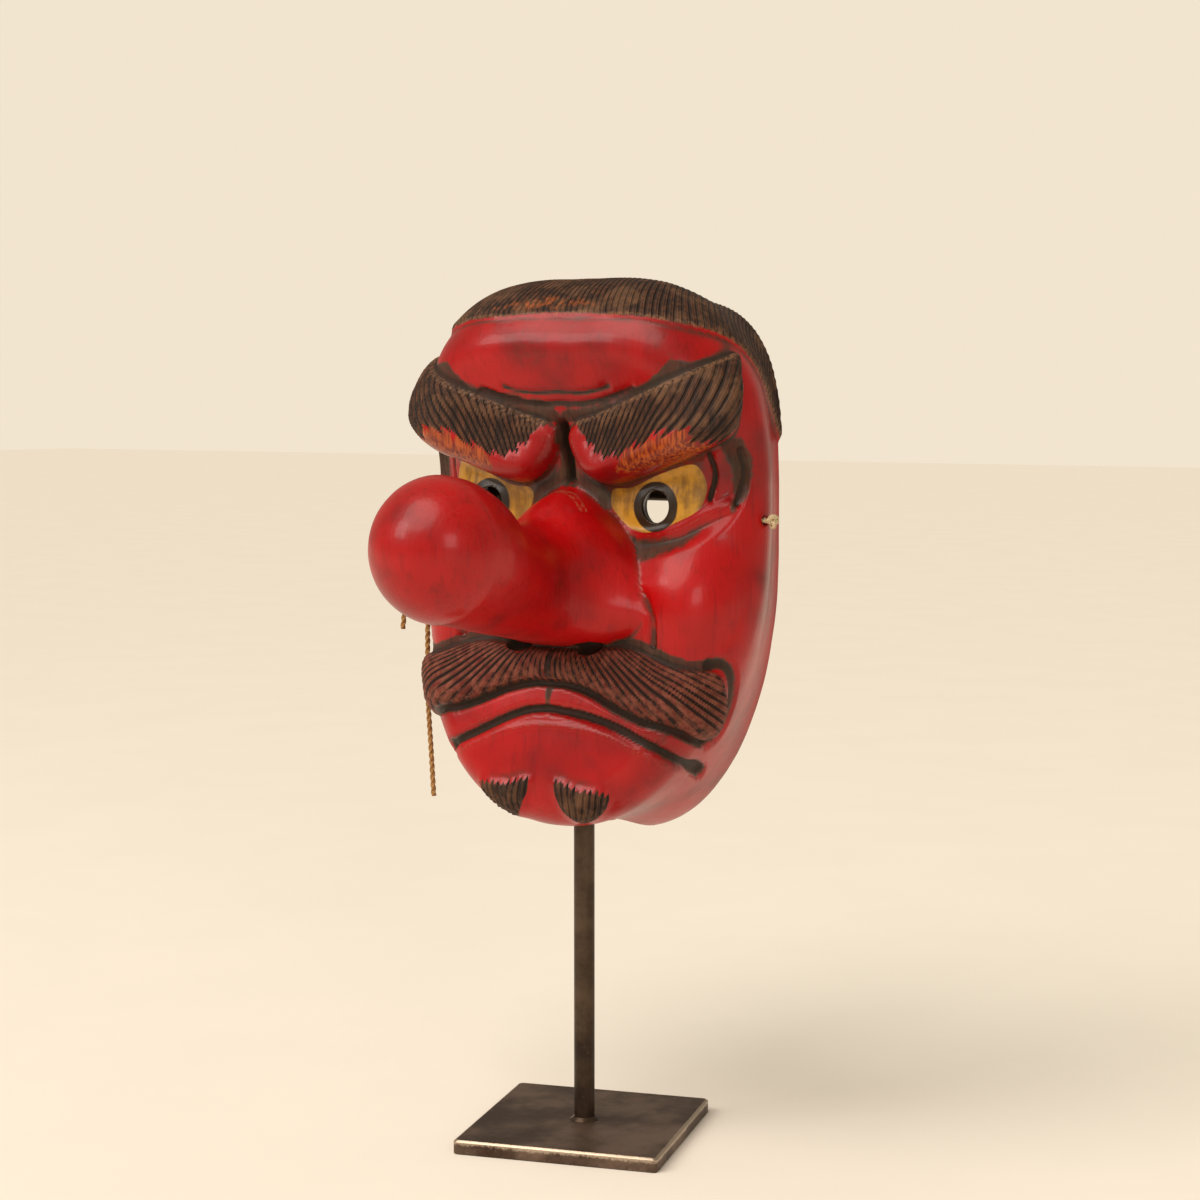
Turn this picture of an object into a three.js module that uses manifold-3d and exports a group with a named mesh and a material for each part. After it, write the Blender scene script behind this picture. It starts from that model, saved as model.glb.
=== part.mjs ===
// A long-nosed goblin mask (tengu) carved from one block of wood, on a steel museum stand.
// Frame: millimetres, +Z up, the face looks along -Y, the origin is under the middle of the
// base plate and the post rises from there.
import * as THREE from 'three';
import { mergeVertices } from 'three/addons/utils/BufferGeometryUtils.js';
import Module from 'manifold-3d';

const wasm = await Module();
wasm.setup();

// Driving dimensions, mm
const MASK_HEIGHT = 214;
const MASK_WALL = 8.5;
const MASK_ABOVE_PLATE = 109.5;
const EYE_HOLE_DIAMETER = 12;
const CORD_DIAMETER = 2.2;
const CORD_HOLE_CLEARANCE = 2.2;
const KNOT_DIAMETER = 6.4;
const PLATE_SIDE = 80;
const PLATE_THICKNESS = 5.5;
const PLATE_CHAMFER = 0.7;
const PLATE_CORNER = 1.6;
const PLATE_TURN_DEG = 15;
const POST_DIAMETER = 8;
const POST_SET_BACK = 12;
const WELD_LEG = 1.6;
const CROSSBAR_LENGTH = 100;
const CROSSBAR_DIAMETER = 7;
const STOP_DIAMETER = 5;
const CRADLE_GAP = 0.3;
const NOTCH_CLEARANCE = 6;

// The carving is drawn on a mask 214 mm tall and scaled to MASK_HEIGHT. In the drawing, x is
// across, y is depth (the post at 0, the face in front of it) and z is height above the chin.
const DRAWN_HEIGHT = 214;
const CARVE = MASK_HEIGHT / DRAWN_HEIGHT;
const WALL = MASK_WALL / CARVE;
const RIM_Y = 40;
const MIDDLE_Z = 110.5;
const HALF_WIDTH = 62.7;
const CROWN_RISE = 96.2;
const ROUNDNESS = { upper: 4, lower: 2.05 };
const CORNER = { side: 27.9, crown: 28.1, chin: 12 };
const FACE_CELLS = 36;
const INNER_CELLS = FACE_CELLS / 2;
const BODY_DEPTH = 57;

// How much wider and taller the face is than its rim, as shares
const WIDER = { middle: 0.158, chin: 0.07, crown: 0.18 };
const TALLER = { crown: 0.069, chin: 0.079 };

// How far the middle line of the face stands in front of the post at chin, eyes and crown
const CHIN = { z: 20, reach: 30 };
const EYES = { z: 137, reach: 10 };
const CROWN = { z: 197, reach: 26 };

const clamp = (x, low, high) => Math.min(high, Math.max(low, x));
const ease = (t) => clamp(t, 0, 1) ** 2 * (3 - 2 * clamp(t, 0, 1));
const bump = (distance, reach) => clamp(1 - (distance / reach) ** 2, 0, 1) ** 2;
const step = (distance, width) => ease(0.5 + distance / (2 * width));
const mix = (a, b, t) => a + (b - a) * t;

function frontAt(z) {
  const rise = ease((z - CHIN.z) / (EYES.z - CHIN.z));
  const swell = ease((z - EYES.z) / (CROWN.z - EYES.z));
  return -CHIN.reach + (CHIN.reach - EYES.reach) * rise - (CROWN.reach - EYES.reach) * swell;
}

// Plain block of the mask before its features: u and v run over the unit disc, 0 at the
// middle of the face and 1 at the rim, evenly along the surface.
function blockPoint(u, v) {
  const r = Math.hypot(u, v);
  const cu = r > 1e-9 ? u / r : 1;
  const cv = r > 1e-9 ? v / r : 0;
  const upper = cv > 0;
  const halfTall = upper ? CROWN_RISE : MIDDLE_Z;
  const power = upper ? ROUNDNESS.upper : ROUNDNESS.lower;
  const reach = 1 / ((Math.abs(cu) / HALF_WIDTH) ** power + (Math.abs(cv) / halfTall) ** power) ** (1 / power);
  const corner = mix(CORNER.side, upper ? CORNER.crown : CORNER.chin, cv * cv);
  const flat = reach - corner;
  const turn = corner * Math.PI / 2;
  const along = r * (flat + turn + BODY_DEPTH - corner);
  let rho = 1;
  let depth = 0;
  if (along < flat) {
    rho = along / reach;
    depth = 1;
  } else if (along < flat + turn) {
    const angle = (along - flat) / corner;
    rho = (flat + corner * Math.sin(angle)) / reach;
    depth = (BODY_DEPTH - corner + corner * Math.cos(angle)) / BODY_DEPTH;
  } else {
    depth = (flat + turn + BODY_DEPTH - corner - along) / BODY_DEPTH;
  }
  const t = ease(depth / 0.6);
  const z = MIDDLE_Z + reach * cv * rho * (1 + (upper ? TALLER.crown : -TALLER.chin) * t);
  const swell = WIDER.middle + WIDER.chin * ease((45 - z) / 55) - WIDER.crown * ease((z - 170) / 50);
  const x = reach * cu * rho * (1 + swell * t);
  return new THREE.Vector3(x, RIM_Y - (RIM_Y - frontAt(z)) * depth, z);
}

function blockNormal(u, v) {
  const e = 0.004;
  const du = blockPoint(u + e, v).sub(blockPoint(u - e, v));
  const dv = blockPoint(u, v + e).sub(blockPoint(u, v - e));
  return du.cross(dv).normalize();
}

// Sideways coordinate that runs on round the cheek to the rim
const aroundFace = (p) => Math.abs(p.x) + 0.8 * Math.max(0, p.y - frontAt(p.z));

function pathDistance(q, z, path) {
  let best = Infinity;
  for (let i = 1; i < path.length; i += 1) {
    const [ax, az] = path[i - 1];
    const [bx, bz] = path[i];
    const length2 = (bx - ax) ** 2 + (bz - az) ** 2;
    const t = clamp(((q - ax) * (bx - ax) + (z - az) * (bz - az)) / length2, 0, 1);
    best = Math.min(best, Math.hypot(q - ax - t * (bx - ax), z - az - t * (bz - az)));
  }
  return best;
}

// Distance to the edge of a closed outline, positive inside
function insideDistance(q, z, outline) {
  let inside = false;
  for (let i = 0, j = outline.length - 1; i < outline.length; j = i, i += 1) {
    const [ax, az] = outline[i];
    const [bx, bz] = outline[j];
    if ((az > z) !== (bz > z) && q < ((bx - ax) * (z - az)) / (bz - az) + ax) inside = !inside;
  }
  const edge = pathDistance(q, z, [...outline, outline[0]]);
  return inside ? edge : -edge;
}

// Features, as outlines and lines in (sideways, height) on the right half of the drawing
const HAIRLINE = [
  [-9, 201.5], [35, 199.5], [62, 196], [79, 192.5], [90, 187], [97, 179], [101, 169], [104, 157], [107, 147],
];
const BROW = [
  [3, 153], [5, 148], [9, 142.5], [14, 139], [20, 137.8], [31, 140.3], [45, 145.3], [61, 151.5], [73, 157],
  [79, 166], [83, 176], [85, 185.5], [72, 182.2], [57.4, 178.2], [36.5, 171.2], [17, 164], [7, 161], [3, 157.5],
];
const BROW_RIDGE = [[7, 161], [17, 164], [36.5, 171.2], [57.4, 178.2], [72, 182.2], [85, 185.5]];
const EYE_CENTRE = [36.9, 130];
const LOWER_LID = [[14, 132], [17, 125.8], [22.2, 121], [32, 119.2], [45.5, 121.6], [56, 126], [70, 131]];
const SOCKET = [
  [16, 130], [20, 119.5], [32, 114.5], [46, 116], [58, 121], [70, 128], [77, 139], [74, 151], [60, 149],
  [40, 144], [20, 137],
];
const MOUSTACHE = [
  [0, 75.5], [8, 76.5], [20, 77.5], [33, 77.5], [43.6, 75], [51.2, 72.3], [60, 71], [70.7, 70.5], [75.5, 67.5],
  [79.5, 61], [81, 54], [79.5, 47.5], [74, 44.6], [67, 46.2], [60, 49.2], [50, 52], [39.3, 54], [28.2, 58],
  [18, 62.3], [8, 64.5], [0, 65],
];
const MOUSTACHE_GROOVE = [[68, 73.5], [75, 73.2], [81, 69.5], [84.5, 62], [84.8, 53], [82, 45.5], [76, 42.5]];
const MOUTH = [[0, 54.6], [14.3, 53], [29, 49.8], [41, 45.3], [53.4, 40.4], [70.7, 32.9], [77, 29.5]];
const MOUTH_LEFT = [[0, 54.6], [9, 53.4], [18.9, 49.8], [31.2, 43.8], [44.6, 37.5], [50, 34.8]];
const TUFT = [[5, 27], [9, 27.5], [15.6, 25.5], [23.5, 25.3], [29.7, 24.3], [28, 18], [23, 13.6], [17, 13], [9, 18]];
const FROWNS = [
  [[0, 172], [9, 171.6], [17, 172.4], [23, 174]], [[0, 167.8], [8, 167.6], [16, 168.6], [25, 170.6], [33, 173]],
];
const CLEFT = [[0, 163], [0, 151], [0, 139.5]];
const CROWS_FEET = [[[62, 148.5], [64, 141.5], [61, 133.5]], [[77.5, 151], [79, 142], [75, 131.5]]];
const CHEEK = { q: 52, z: 98, wide: 32, tall: 27, height: 6.5 };
const WING_GROOVE = [[27, 100], [33, 98.5], [38.5, 95], [42, 89], [42.3, 80]];

// Height of the broad carving over the block, mm
function relief(q, z) {
  const hair = z > 120 ? insideHair(q, z) : -50;
  const brow = insideDistance(q, z, BROW);
  const moustache = insideDistance(q, z, MOUSTACHE);
  const socket = insideDistance(q, z, SOCKET);
  const cheek = Math.hypot((q - CHEEK.q) / CHEEK.wide, (z - CHEEK.z) / CHEEK.tall);
  const ball = Math.hypot((q - EYE_CENTRE[0]) / 26, (z - EYE_CENTRE[1]) / 17);
  const round = (t) => Math.sqrt(1 - (1 - clamp(t, 0, 1)) ** 2);
  let h = 2 * step(hair, 2.5);
  h += CHEEK.height * bump(cheek, 1);
  h -= 4 * step(socket, 5);
  h += 4 * bump(ball, 1);
  h += 1.5 * bump(pathDistance(q, z, LOWER_LID), 4);
  const nearRidge = bump(pathDistance(q, z, BROW_RIDGE), 18);
  h += mix(11 * round(brow / 10), 4.5 * round(brow / 5), nearRidge);
  h += 4 * step(brow, 4) * step(socket, 5);
  h += 4.5 * round(moustache / 7);
  h += 2 * step(insideDistance(q, z, TUFT), 2.5);
  return h;
}

// Height above the hairline, positive in the hair
function insideHair(q, z) {
  const distance = pathDistance(q, z, HAIRLINE);
  let above = z > HAIRLINE[0][1];
  for (let i = 1; i < HAIRLINE.length; i += 1) {
    const [ax, az] = HAIRLINE[i - 1];
    const [bx, bz] = HAIRLINE[i];
    if (q >= ax && q < bx) above = z > az + ((bz - az) * (q - ax)) / (bx - ax);
  }
  return above ? distance : -distance;
}

function facePoint(u, v) {
  const p = blockPoint(u, v);
  return p.addScaledVector(blockNormal(u, v), relief(aroundFace(p), p.z));
}

function innerPoint(u, v) {
  const p = blockPoint(u, v).addScaledVector(blockNormal(u, v), -WALL);
  if (Math.hypot(u, v) > 0.999) p.y = RIM_Y;
  return p;
}

// Square grid index to the unit disc
function discAt(i, j, cells) {
  const a = (2 * i) / cells - 1;
  const b = (2 * j) / cells - 1;
  return [a * Math.sqrt(1 - (b * b) / 2), b * Math.sqrt(1 - (a * a) / 2)];
}

function ringIndices(cells) {
  const side = cells + 1;
  const ring = [];
  for (let i = 0; i < cells; i += 1) ring.push(i);
  for (let j = 0; j < cells; j += 1) ring.push(j * side + cells);
  for (let i = cells; i > 0; i -= 1) ring.push(cells * side + i);
  for (let j = cells; j > 0; j -= 1) ring.push(j * side);
  return ring;
}

function geometryFrom(points, triangles) {
  const geometry = new THREE.BufferGeometry();
  geometry.setAttribute('position', new THREE.Float32BufferAttribute(points.flatMap((p) => [p.x, p.y, p.z]), 3));
  geometry.setIndex(triangles.flat());
  return geometry;
}

function shellGeometry() {
  const points = [];
  const triangles = [];
  const sheet = (cells, pointAt, outward) => {
    const first = points.length;
    const side = cells + 1;
    for (let j = 0; j <= cells; j += 1) {
      for (let i = 0; i <= cells; i += 1) points.push(pointAt(...discAt(i, j, cells)));
    }
    for (let j = 0; j < cells; j += 1) {
      for (let i = 0; i < cells; i += 1) {
        const a = first + j * side + i;
        const [b, c, d] = [a + 1, a + side + 1, a + side];
        const split = (i < cells / 2) === (j < cells / 2);
        const pair = split ? [[a, b, c], [a, c, d]] : [[a, b, d], [b, c, d]];
        pair.forEach((t) => triangles.push(outward ? t : [t[0], t[2], t[1]]));
      }
    }
    return first;
  };
  const face = sheet(FACE_CELLS, facePoint, true);
  const inner = sheet(INNER_CELLS, innerPoint, false);
  const outerRing = ringIndices(FACE_CELLS).map((k) => face + k);
  const innerRing = ringIndices(INNER_CELLS).map((k) => inner + k);
  for (let k = 0; k < innerRing.length; k += 1) {
    const [o0, o1, o2] = [0, 1, 2].map((n) => outerRing[(2 * k + n) % outerRing.length]);
    const [i0, i1] = [innerRing[k], innerRing[(k + 1) % innerRing.length]];
    triangles.push([o0, i0, o1], [o1, i0, i1], [o1, i1, o2]);
  }
  for (const k of outerRing) points[k].y = RIM_Y;
  return geometryFrom(points, triangles);
}

// The nose: rings round a middle line, from inside the wall to the tip of the bulb
const NOSE = [
  { y: -6, top: 137, low: 74, half: 35, flare: 0.45 },
  { y: -12, top: 136, low: 75, half: 34, flare: 0.45 },
  { y: -18, top: 134.5, low: 76.5, half: 32, flare: 0.4 },
  { y: -26.5, top: 130, low: 78.5, half: 27, flare: 0.3 },
  { y: -33, top: 126, low: 79.7, half: 23, flare: 0.22 },
  { y: -40, top: 124.4, low: 81, half: 20.3, flare: 0.16 },
  { y: -48, top: 124.5, low: 82.3, half: 19.2, flare: 0.1 },
  { y: -56, top: 126.3, low: 83.8, half: 19.6, flare: 0.05 },
  { y: -66, top: 131.5, low: 85.5, half: 21.6, flare: 0.03 },
  { y: -76, top: 138, low: 87.6, half: 24, flare: 0 },
  { y: -86, top: 142.3, low: 89.8, half: 25.3, flare: 0 },
];
const BULB = { y: -94.5, z: 117.5, across: 25.5, along: 24.5, tall: 26.2 };
const WING = { x: 7, y: -17, z: 90, deep: 9, tall: 11 };
const NOSE_SIDES = 22;
const BULB_RINGS = 6;

function noseRings() {
  const rings = NOSE.map((s) => ({ y: s.y, z: (s.top + s.low) / 2, tall: (s.top - s.low) / 2, half: s.half, flare: s.flare }));
  for (let k = 0; k < BULB_RINGS; k += 1) {
    const angle = (k / BULB_RINGS) * (Math.PI / 2);
    rings.push({
      y: BULB.y - BULB.along * Math.sin(angle),
      z: BULB.z,
      tall: BULB.tall * Math.cos(angle),
      half: BULB.across * Math.cos(angle),
      flare: 0,
    });
  }
  return rings;
}

function noseGeometry() {
  const rings = noseRings();
  const points = [];
  const triangles = [];
  for (const ring of rings) {
    for (let k = 0; k < NOSE_SIDES; k += 1) {
      const angle = (k / NOSE_SIDES) * 2 * Math.PI;
      const up = Math.cos(angle);
      const z = ring.z + ring.tall * up;
      let x = ring.half * Math.sin(angle) * (1 - ring.flare * up);
      const wing = Math.exp(-(((ring.y - WING.y) / WING.deep) ** 2) - ((z - WING.z) / WING.tall) ** 2);
      x += Math.sign(x) * WING.x * wing * Math.abs(Math.sin(angle));
      const y = ring === rings[0] ? frontAt(z) + 4 : ring.y;
      points.push(new THREE.Vector3(x, y, z));
    }
  }
  const n = NOSE_SIDES;
  for (let r = 0; r + 1 < rings.length; r += 1) {
    for (let k = 0; k < n; k += 1) {
      const [a, b] = [r * n + k, r * n + ((k + 1) % n)];
      triangles.push([a, a + n, b], [b, a + n, b + n]);
    }
  }
  const back = points.length;
  points.push(new THREE.Vector3(0, frontAt(105) + 4, 105));
  points.push(new THREE.Vector3(0, BULB.y - BULB.along, BULB.z));
  const last = (rings.length - 1) * n;
  for (let k = 0; k < n; k += 1) {
    triangles.push([back, k, (k + 1) % n], [back + 1, last + ((k + 1) % n), last + k]);
  }
  return geometryFrom(points, triangles);
}

// Boolean joins and cuts on closed meshes
function solidOf(geometry) {
  const bare = geometry.clone();
  bare.deleteAttribute('normal');
  bare.deleteAttribute('uv');
  const merged = mergeVertices(bare, 1e-4);
  return new wasm.Manifold(new wasm.Mesh({
    numProp: 3,
    vertProperties: new Float32Array(merged.attributes.position.array),
    triVerts: new Uint32Array(merged.index.array),
  }));
}

function geometryOf(solid) {
  const mesh = solid.getMesh();
  const geometry = new THREE.BufferGeometry();
  geometry.setAttribute('position', new THREE.BufferAttribute(new Float32Array(mesh.vertProperties), 3));
  geometry.setIndex(new THREE.BufferAttribute(new Uint32Array(mesh.triVerts), 1));
  return geometry;
}

function placed(geometry, position, turn = [0, 0, 0], scale = [1, 1, 1]) {
  const matrix = new THREE.Matrix4().compose(
    new THREE.Vector3(...position),
    new THREE.Quaternion().setFromEuler(new THREE.Euler(...turn)),
    new THREE.Vector3(...scale),
  );
  return geometry.clone().applyMatrix4(matrix);
}

const rod = (diameter, length, sides = 20) => new THREE.CylinderGeometry(diameter / 2, diameter / 2, length, sides);

const CORD_HOLE = { y: 10.5, z: 125 };
const BROW_LOCKS = 7;
const MOUSTACHE_LOCKS = 8;
const MOUSTACHE_ROOT = [1, 92];
const TUFT_LOCKS = 3;
const NOSTRIL = { x: 16, y: -21, z: 77.5, size: [7.5, 6, 6] };
const BAR_Z = 134.7;
const NOSE_HOLLOW = { y: -6, z: 103, size: [15, 22, 24] };

// Place on the disc whose block point has the given sideways coordinate and height
const seeds = [];
for (let j = 0; j <= 40; j += 1) {
  for (let i = 20; i <= 40; i += 1) seeds.push(discAt(i, j, 40));
}
const seedPlaces = seeds.map(([u, v]) => {
  const p = blockPoint(u, v);
  return [aroundFace(p), p.z];
});

function discFor(q, z) {
  const miss = seedPlaces.map(([sq, sz]) => (sq - q) ** 2 + (sz - z) ** 2);
  let [u, v] = seeds[miss.indexOf(Math.min(...miss))];
  const e = 0.002;
  const at = (a, b) => {
    const p = blockPoint(a, b);
    return [aroundFace(p) - q, p.z - z];
  };
  for (let k = 0; k < 4; k += 1) {
    const [fq, fz] = at(u, v);
    const [uq, uz] = at(u + e, v).map((f, n) => (f - [fq, fz][n]) / e);
    const [vq, vz] = at(u, v + e).map((f, n) => (f - [fq, fz][n]) / e);
    const det = uq * vz - vq * uz;
    if (Math.abs(det) < 1e-3) break;
    u -= clamp((fq * vz - vq * fz) / det, -0.03, 0.03);
    v -= clamp((uq * fz - fq * uz) / det, -0.03, 0.03);
  }
  return [u, v];
}

// A gouge cut: a three-sided blade drawn along a line on the face, shallower at its ends
function gouge(path, halfWidth, depth, side, taper = 0.35) {
  const curve = new THREE.CatmullRomCurve3(path.map(([q, z]) => new THREE.Vector3(q, 0, z)));
  const count = Math.max(2, Math.round(curve.getLength() / 10));
  const places = curve.getSpacedPoints(count).map((p) => {
    const [u, v] = discFor(p.x, p.z);
    return { point: facePoint(u, v), normal: blockNormal(u, v) };
  });
  const points = [];
  places.forEach(({ point, normal }, k) => {
    const before = places[Math.max(0, k - 1)].point;
    const after = places[Math.min(count, k + 1)].point;
    const across = after.clone().sub(before).normalize().cross(normal).normalize();
    const size = mix(taper, 1, ease(Math.min(k, count - k) / 1.5));
    points.push(point.clone().addScaledVector(normal, -depth * size));
    points.push(point.clone().addScaledVector(normal, depth * 0.8).addScaledVector(across, halfWidth * size * 1.8));
    points.push(point.clone().addScaledVector(normal, depth * 0.8).addScaledVector(across, -halfWidth * size * 1.8));
  });
  const triangles = [[0, 1, 2], [3 * count, 3 * count + 2, 3 * count + 1]];
  for (let k = 0; k < count; k += 1) {
    for (let n = 0; n < 3; n += 1) {
      const [a, b] = [3 * k + n, 3 * k + ((n + 1) % 3)];
      triangles.push([a, a + 3, b], [b, a + 3, b + 3]);
    }
  }
  if (side < 0) {
    points.forEach((p) => p.setX(-p.x));
    triangles.forEach((t) => t.reverse());
  }
  return geometryFrom(points, triangles);
}

const lerp2 = (a, b, t) => [mix(a[0], b[0], t), mix(a[1], b[1], t)];

// Locks of hair: parallel cuts in the brows, cuts that spread from under the nose, chin tufts
function lockLines() {
  const lines = [];
  for (let k = 0; k < BROW_LOCKS; k += 1) {
    const t = k / (BROW_LOCKS - 1);
    lines.push([lerp2([16, 152], [79, 164], t), lerp2([25, 165.5], [84, 182], t)]);
  }
  for (let k = 0; k < MOUSTACHE_LOCKS; k += 1) {
    const angle = THREE.MathUtils.degToRad(mix(-84, -14, k / (MOUSTACHE_LOCKS - 1)));
    const ray = (d) => [MOUSTACHE_ROOT[0] + d * Math.cos(angle), MOUSTACHE_ROOT[1] + d * Math.sin(angle)];
    const hair = Array.from({ length: 100 }, (_, d) => d).filter((d) => insideDistance(...ray(d), MOUSTACHE) > 1);
    const [near, far] = [hair[0], hair[hair.length - 1]];
    if (far - near > 6) lines.push([ray(near), ray((near + far) / 2), ray(far)]);
  }
  for (let k = 0; k < TUFT_LOCKS; k += 1) {
    const t = k / (TUFT_LOCKS - 1);
    lines.push([lerp2([10, 26.5], [26, 24], t), lerp2([12, 16], [23, 14.5], t)]);
  }
  return lines;
}

function maskGeometry() {
  let solid = solidOf(shellGeometry());
  const cut = (geometry) => {
    solid = solid.subtract(solidOf(geometry));
  };
  for (const side of [-1, 1]) {
    cut(gouge(side > 0 ? MOUTH : MOUTH_LEFT, 2.4, 3.6, side, 0.9));
    for (const line of FROWNS) cut(gouge(line, 1.1, 1.2, side));
    for (const line of CROWS_FEET) cut(gouge(line, 1.6, 1.8, side));
    cut(gouge(WING_GROOVE, 2, 2.5, side));
    cut(gouge(MOUSTACHE_GROOVE, 1.8, 1.8, side));
    for (const line of lockLines()) cut(gouge(line, 0.9, 1.3, side));
  }
  cut(gouge(CLEFT, 2.4, 6, 1, 0.6));
  solid = solid.add(solidOf(noseGeometry()));
  const ball = new THREE.SphereGeometry(1, 16, 10);
  for (const side of [-1, 1]) {
    cut(placed(rod(EYE_HOLE_DIAMETER / CARVE, 60, 18), [side * EYE_CENTRE[0], -10, EYE_CENTRE[1]]));
    const hole = (CORD_DIAMETER + CORD_HOLE_CLEARANCE) / CARVE;
    cut(placed(rod(hole, 40, 10), [side * HALF_WIDTH, CORD_HOLE.y, CORD_HOLE.z], [0, 0, Math.PI / 2]));
    cut(placed(ball, [side * NOSTRIL.x, NOSTRIL.y, NOSTRIL.z], [0, 0, 0], NOSTRIL.size));
  }
  cut(placed(ball, [0, NOSE_HOLLOW.y, NOSE_HOLLOW.z], [0, 0, 0], NOSE_HOLLOW.size));
  const notch = (POST_DIAMETER / 2 + NOTCH_CLEARANCE) / CARVE;
  cut(placed(rod(2 * notch, 50, 24), [0, 0, 0], [Math.PI / 2, 0, 0]));
  cut(placed(new THREE.BoxGeometry(2 * notch, RIM_Y + 10, 50), [0, (RIM_Y + 10) / 2, 0]));
  const largest = solid.decompose().reduce((a, b) => (a.volume() > b.volume() ? a : b));
  return geometryOf(largest).scale(CARVE, CARVE, CARVE);
}

// The hollow's wall on the middle line, from the chin's rim to the crown's, in drawn units
const hollowLine = Array.from({ length: INNER_CELLS + 1 }, (_, j) => innerPoint(...discAt(INNER_CELLS / 2, j, INNER_CELLS)));

function crossing(axis, value, other, from, to) {
  for (let k = from; k < to; k += 1) {
    const [a, b] = [hollowLine[k], hollowLine[k + 1]];
    if ((a[axis] - value) * (b[axis] - value) <= 0) return mix(a[other], b[other], (value - a[axis]) / (b[axis] - a[axis]));
  }
  return hollowLine[from][other];
}
const crownInsideAt = (y) => crossing('y', y, 'z', Math.round(INNER_CELLS * 0.76), INNER_CELLS);
const chinInsideAt = (z) => crossing('z', z, 'y', Math.round(INNER_CELLS * 0.2), INNER_CELLS / 2);

const plateTop = PLATE_THICKNESS;
const maskBottom = plateTop + MASK_ABOVE_PLATE;

const woodRed = new THREE.MeshStandardMaterial({ color: 0xa8140f, roughness: 0.38, metalness: 0 });
const steelBrown = new THREE.MeshStandardMaterial({ color: 0x3a2c22, roughness: 0.45, metalness: 0.9 });
const rodBrown = new THREE.MeshStandardMaterial({ color: 0x46352a, roughness: 0.4, metalness: 0.9 });
const hemp = new THREE.MeshStandardMaterial({ color: 0xc9a878, roughness: 0.9, metalness: 0 });

function piece(name, geometry, material) {
  const mesh = new THREE.Mesh(geometry, material);
  mesh.name = name;
  return mesh;
}

function plateGeometry() {
  const half = PLATE_SIDE / 2 - PLATE_CHAMFER;
  const r = PLATE_CORNER;
  const outline = new THREE.Shape();
  outline.moveTo(-half + r, -half);
  outline.lineTo(half - r, -half);
  outline.absarc(half - r, -half + r, r, -Math.PI / 2, 0);
  outline.lineTo(half, half - r);
  outline.absarc(half - r, half - r, r, 0, Math.PI / 2);
  outline.lineTo(-half + r, half);
  outline.absarc(-half + r, half - r, r, Math.PI / 2, Math.PI);
  outline.lineTo(-half, -half + r);
  outline.absarc(-half + r, -half + r, r, Math.PI, 1.5 * Math.PI);
  const geometry = new THREE.ExtrudeGeometry(outline, {
    depth: PLATE_THICKNESS - 2 * PLATE_CHAMFER,
    bevelThickness: PLATE_CHAMFER,
    bevelSize: PLATE_CHAMFER,
    bevelSegments: 1,
    curveSegments: 3,
  });
  return geometry.translate(0, 0, PLATE_CHAMFER);
}

// The post rises behind the chin, steps back inside the hollow and ends under the crown
function postGeometry() {
  const edges = [-1, 1].map((end) => (POST_SET_BACK + end * POST_DIAMETER / 2) / CARVE);
  const crownInside = Math.min(...edges.map(crownInsideAt));
  const top = maskBottom + crownInside * CARVE - CRADLE_GAP;
  const bendLow = maskBottom + 0.26 * MASK_HEIGHT;
  const bendHigh = maskBottom + 0.4 * MASK_HEIGHT;
  const route = new THREE.CurvePath();
  const at = (y, z) => new THREE.Vector3(0, y, z);
  route.add(new THREE.LineCurve3(at(0, plateTop), at(0, bendLow)));
  route.add(new THREE.CubicBezierCurve3(
    at(0, bendLow),
    at(0, mix(bendLow, bendHigh, 0.4)),
    at(POST_SET_BACK, mix(bendLow, bendHigh, 0.6)),
    at(POST_SET_BACK, bendHigh),
  ));
  route.add(new THREE.LineCurve3(at(POST_SET_BACK, bendHigh), at(POST_SET_BACK, top)));
  const section = new THREE.Shape().absarc(0, 0, POST_DIAMETER / 2, 0, 2 * Math.PI);
  const post = new THREE.ExtrudeGeometry(section, { steps: 18, curveSegments: 6, extrudePath: route });
  const weld = new THREE.LatheGeometry([
    new THREE.Vector2(0, 0),
    new THREE.Vector2(POST_DIAMETER / 2 + WELD_LEG, 0),
    new THREE.Vector2(POST_DIAMETER / 2 + WELD_LEG * 0.35, WELD_LEG * 0.4),
    new THREE.Vector2(POST_DIAMETER / 2 - 0.1, WELD_LEG),
    new THREE.Vector2(0, WELD_LEG),
  ], 20);
  const barZ = maskBottom + BAR_Z * CARVE;
  const bar = placed(rod(CROSSBAR_DIAMETER, CROSSBAR_LENGTH), [0, POST_SET_BACK, barZ], [0, 0, Math.PI / 2]);
  const stopZ = maskBottom + 0.16 * MASK_HEIGHT;
  const chinInside = chinInsideAt((stopZ - maskBottom + STOP_DIAMETER / 2) / CARVE);
  const stopLength = -chinInside * CARVE - CRADLE_GAP;
  const stop = placed(rod(STOP_DIAMETER, stopLength, 16), [0, -stopLength / 2, stopZ]);
  return geometryOf(
    solidOf(post)
      .add(solidOf(placed(weld, [0, 0, plateTop], [Math.PI / 2, 0, 0])))
      .add(solidOf(bar))
      .add(solidOf(stop)),
  );
}

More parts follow.
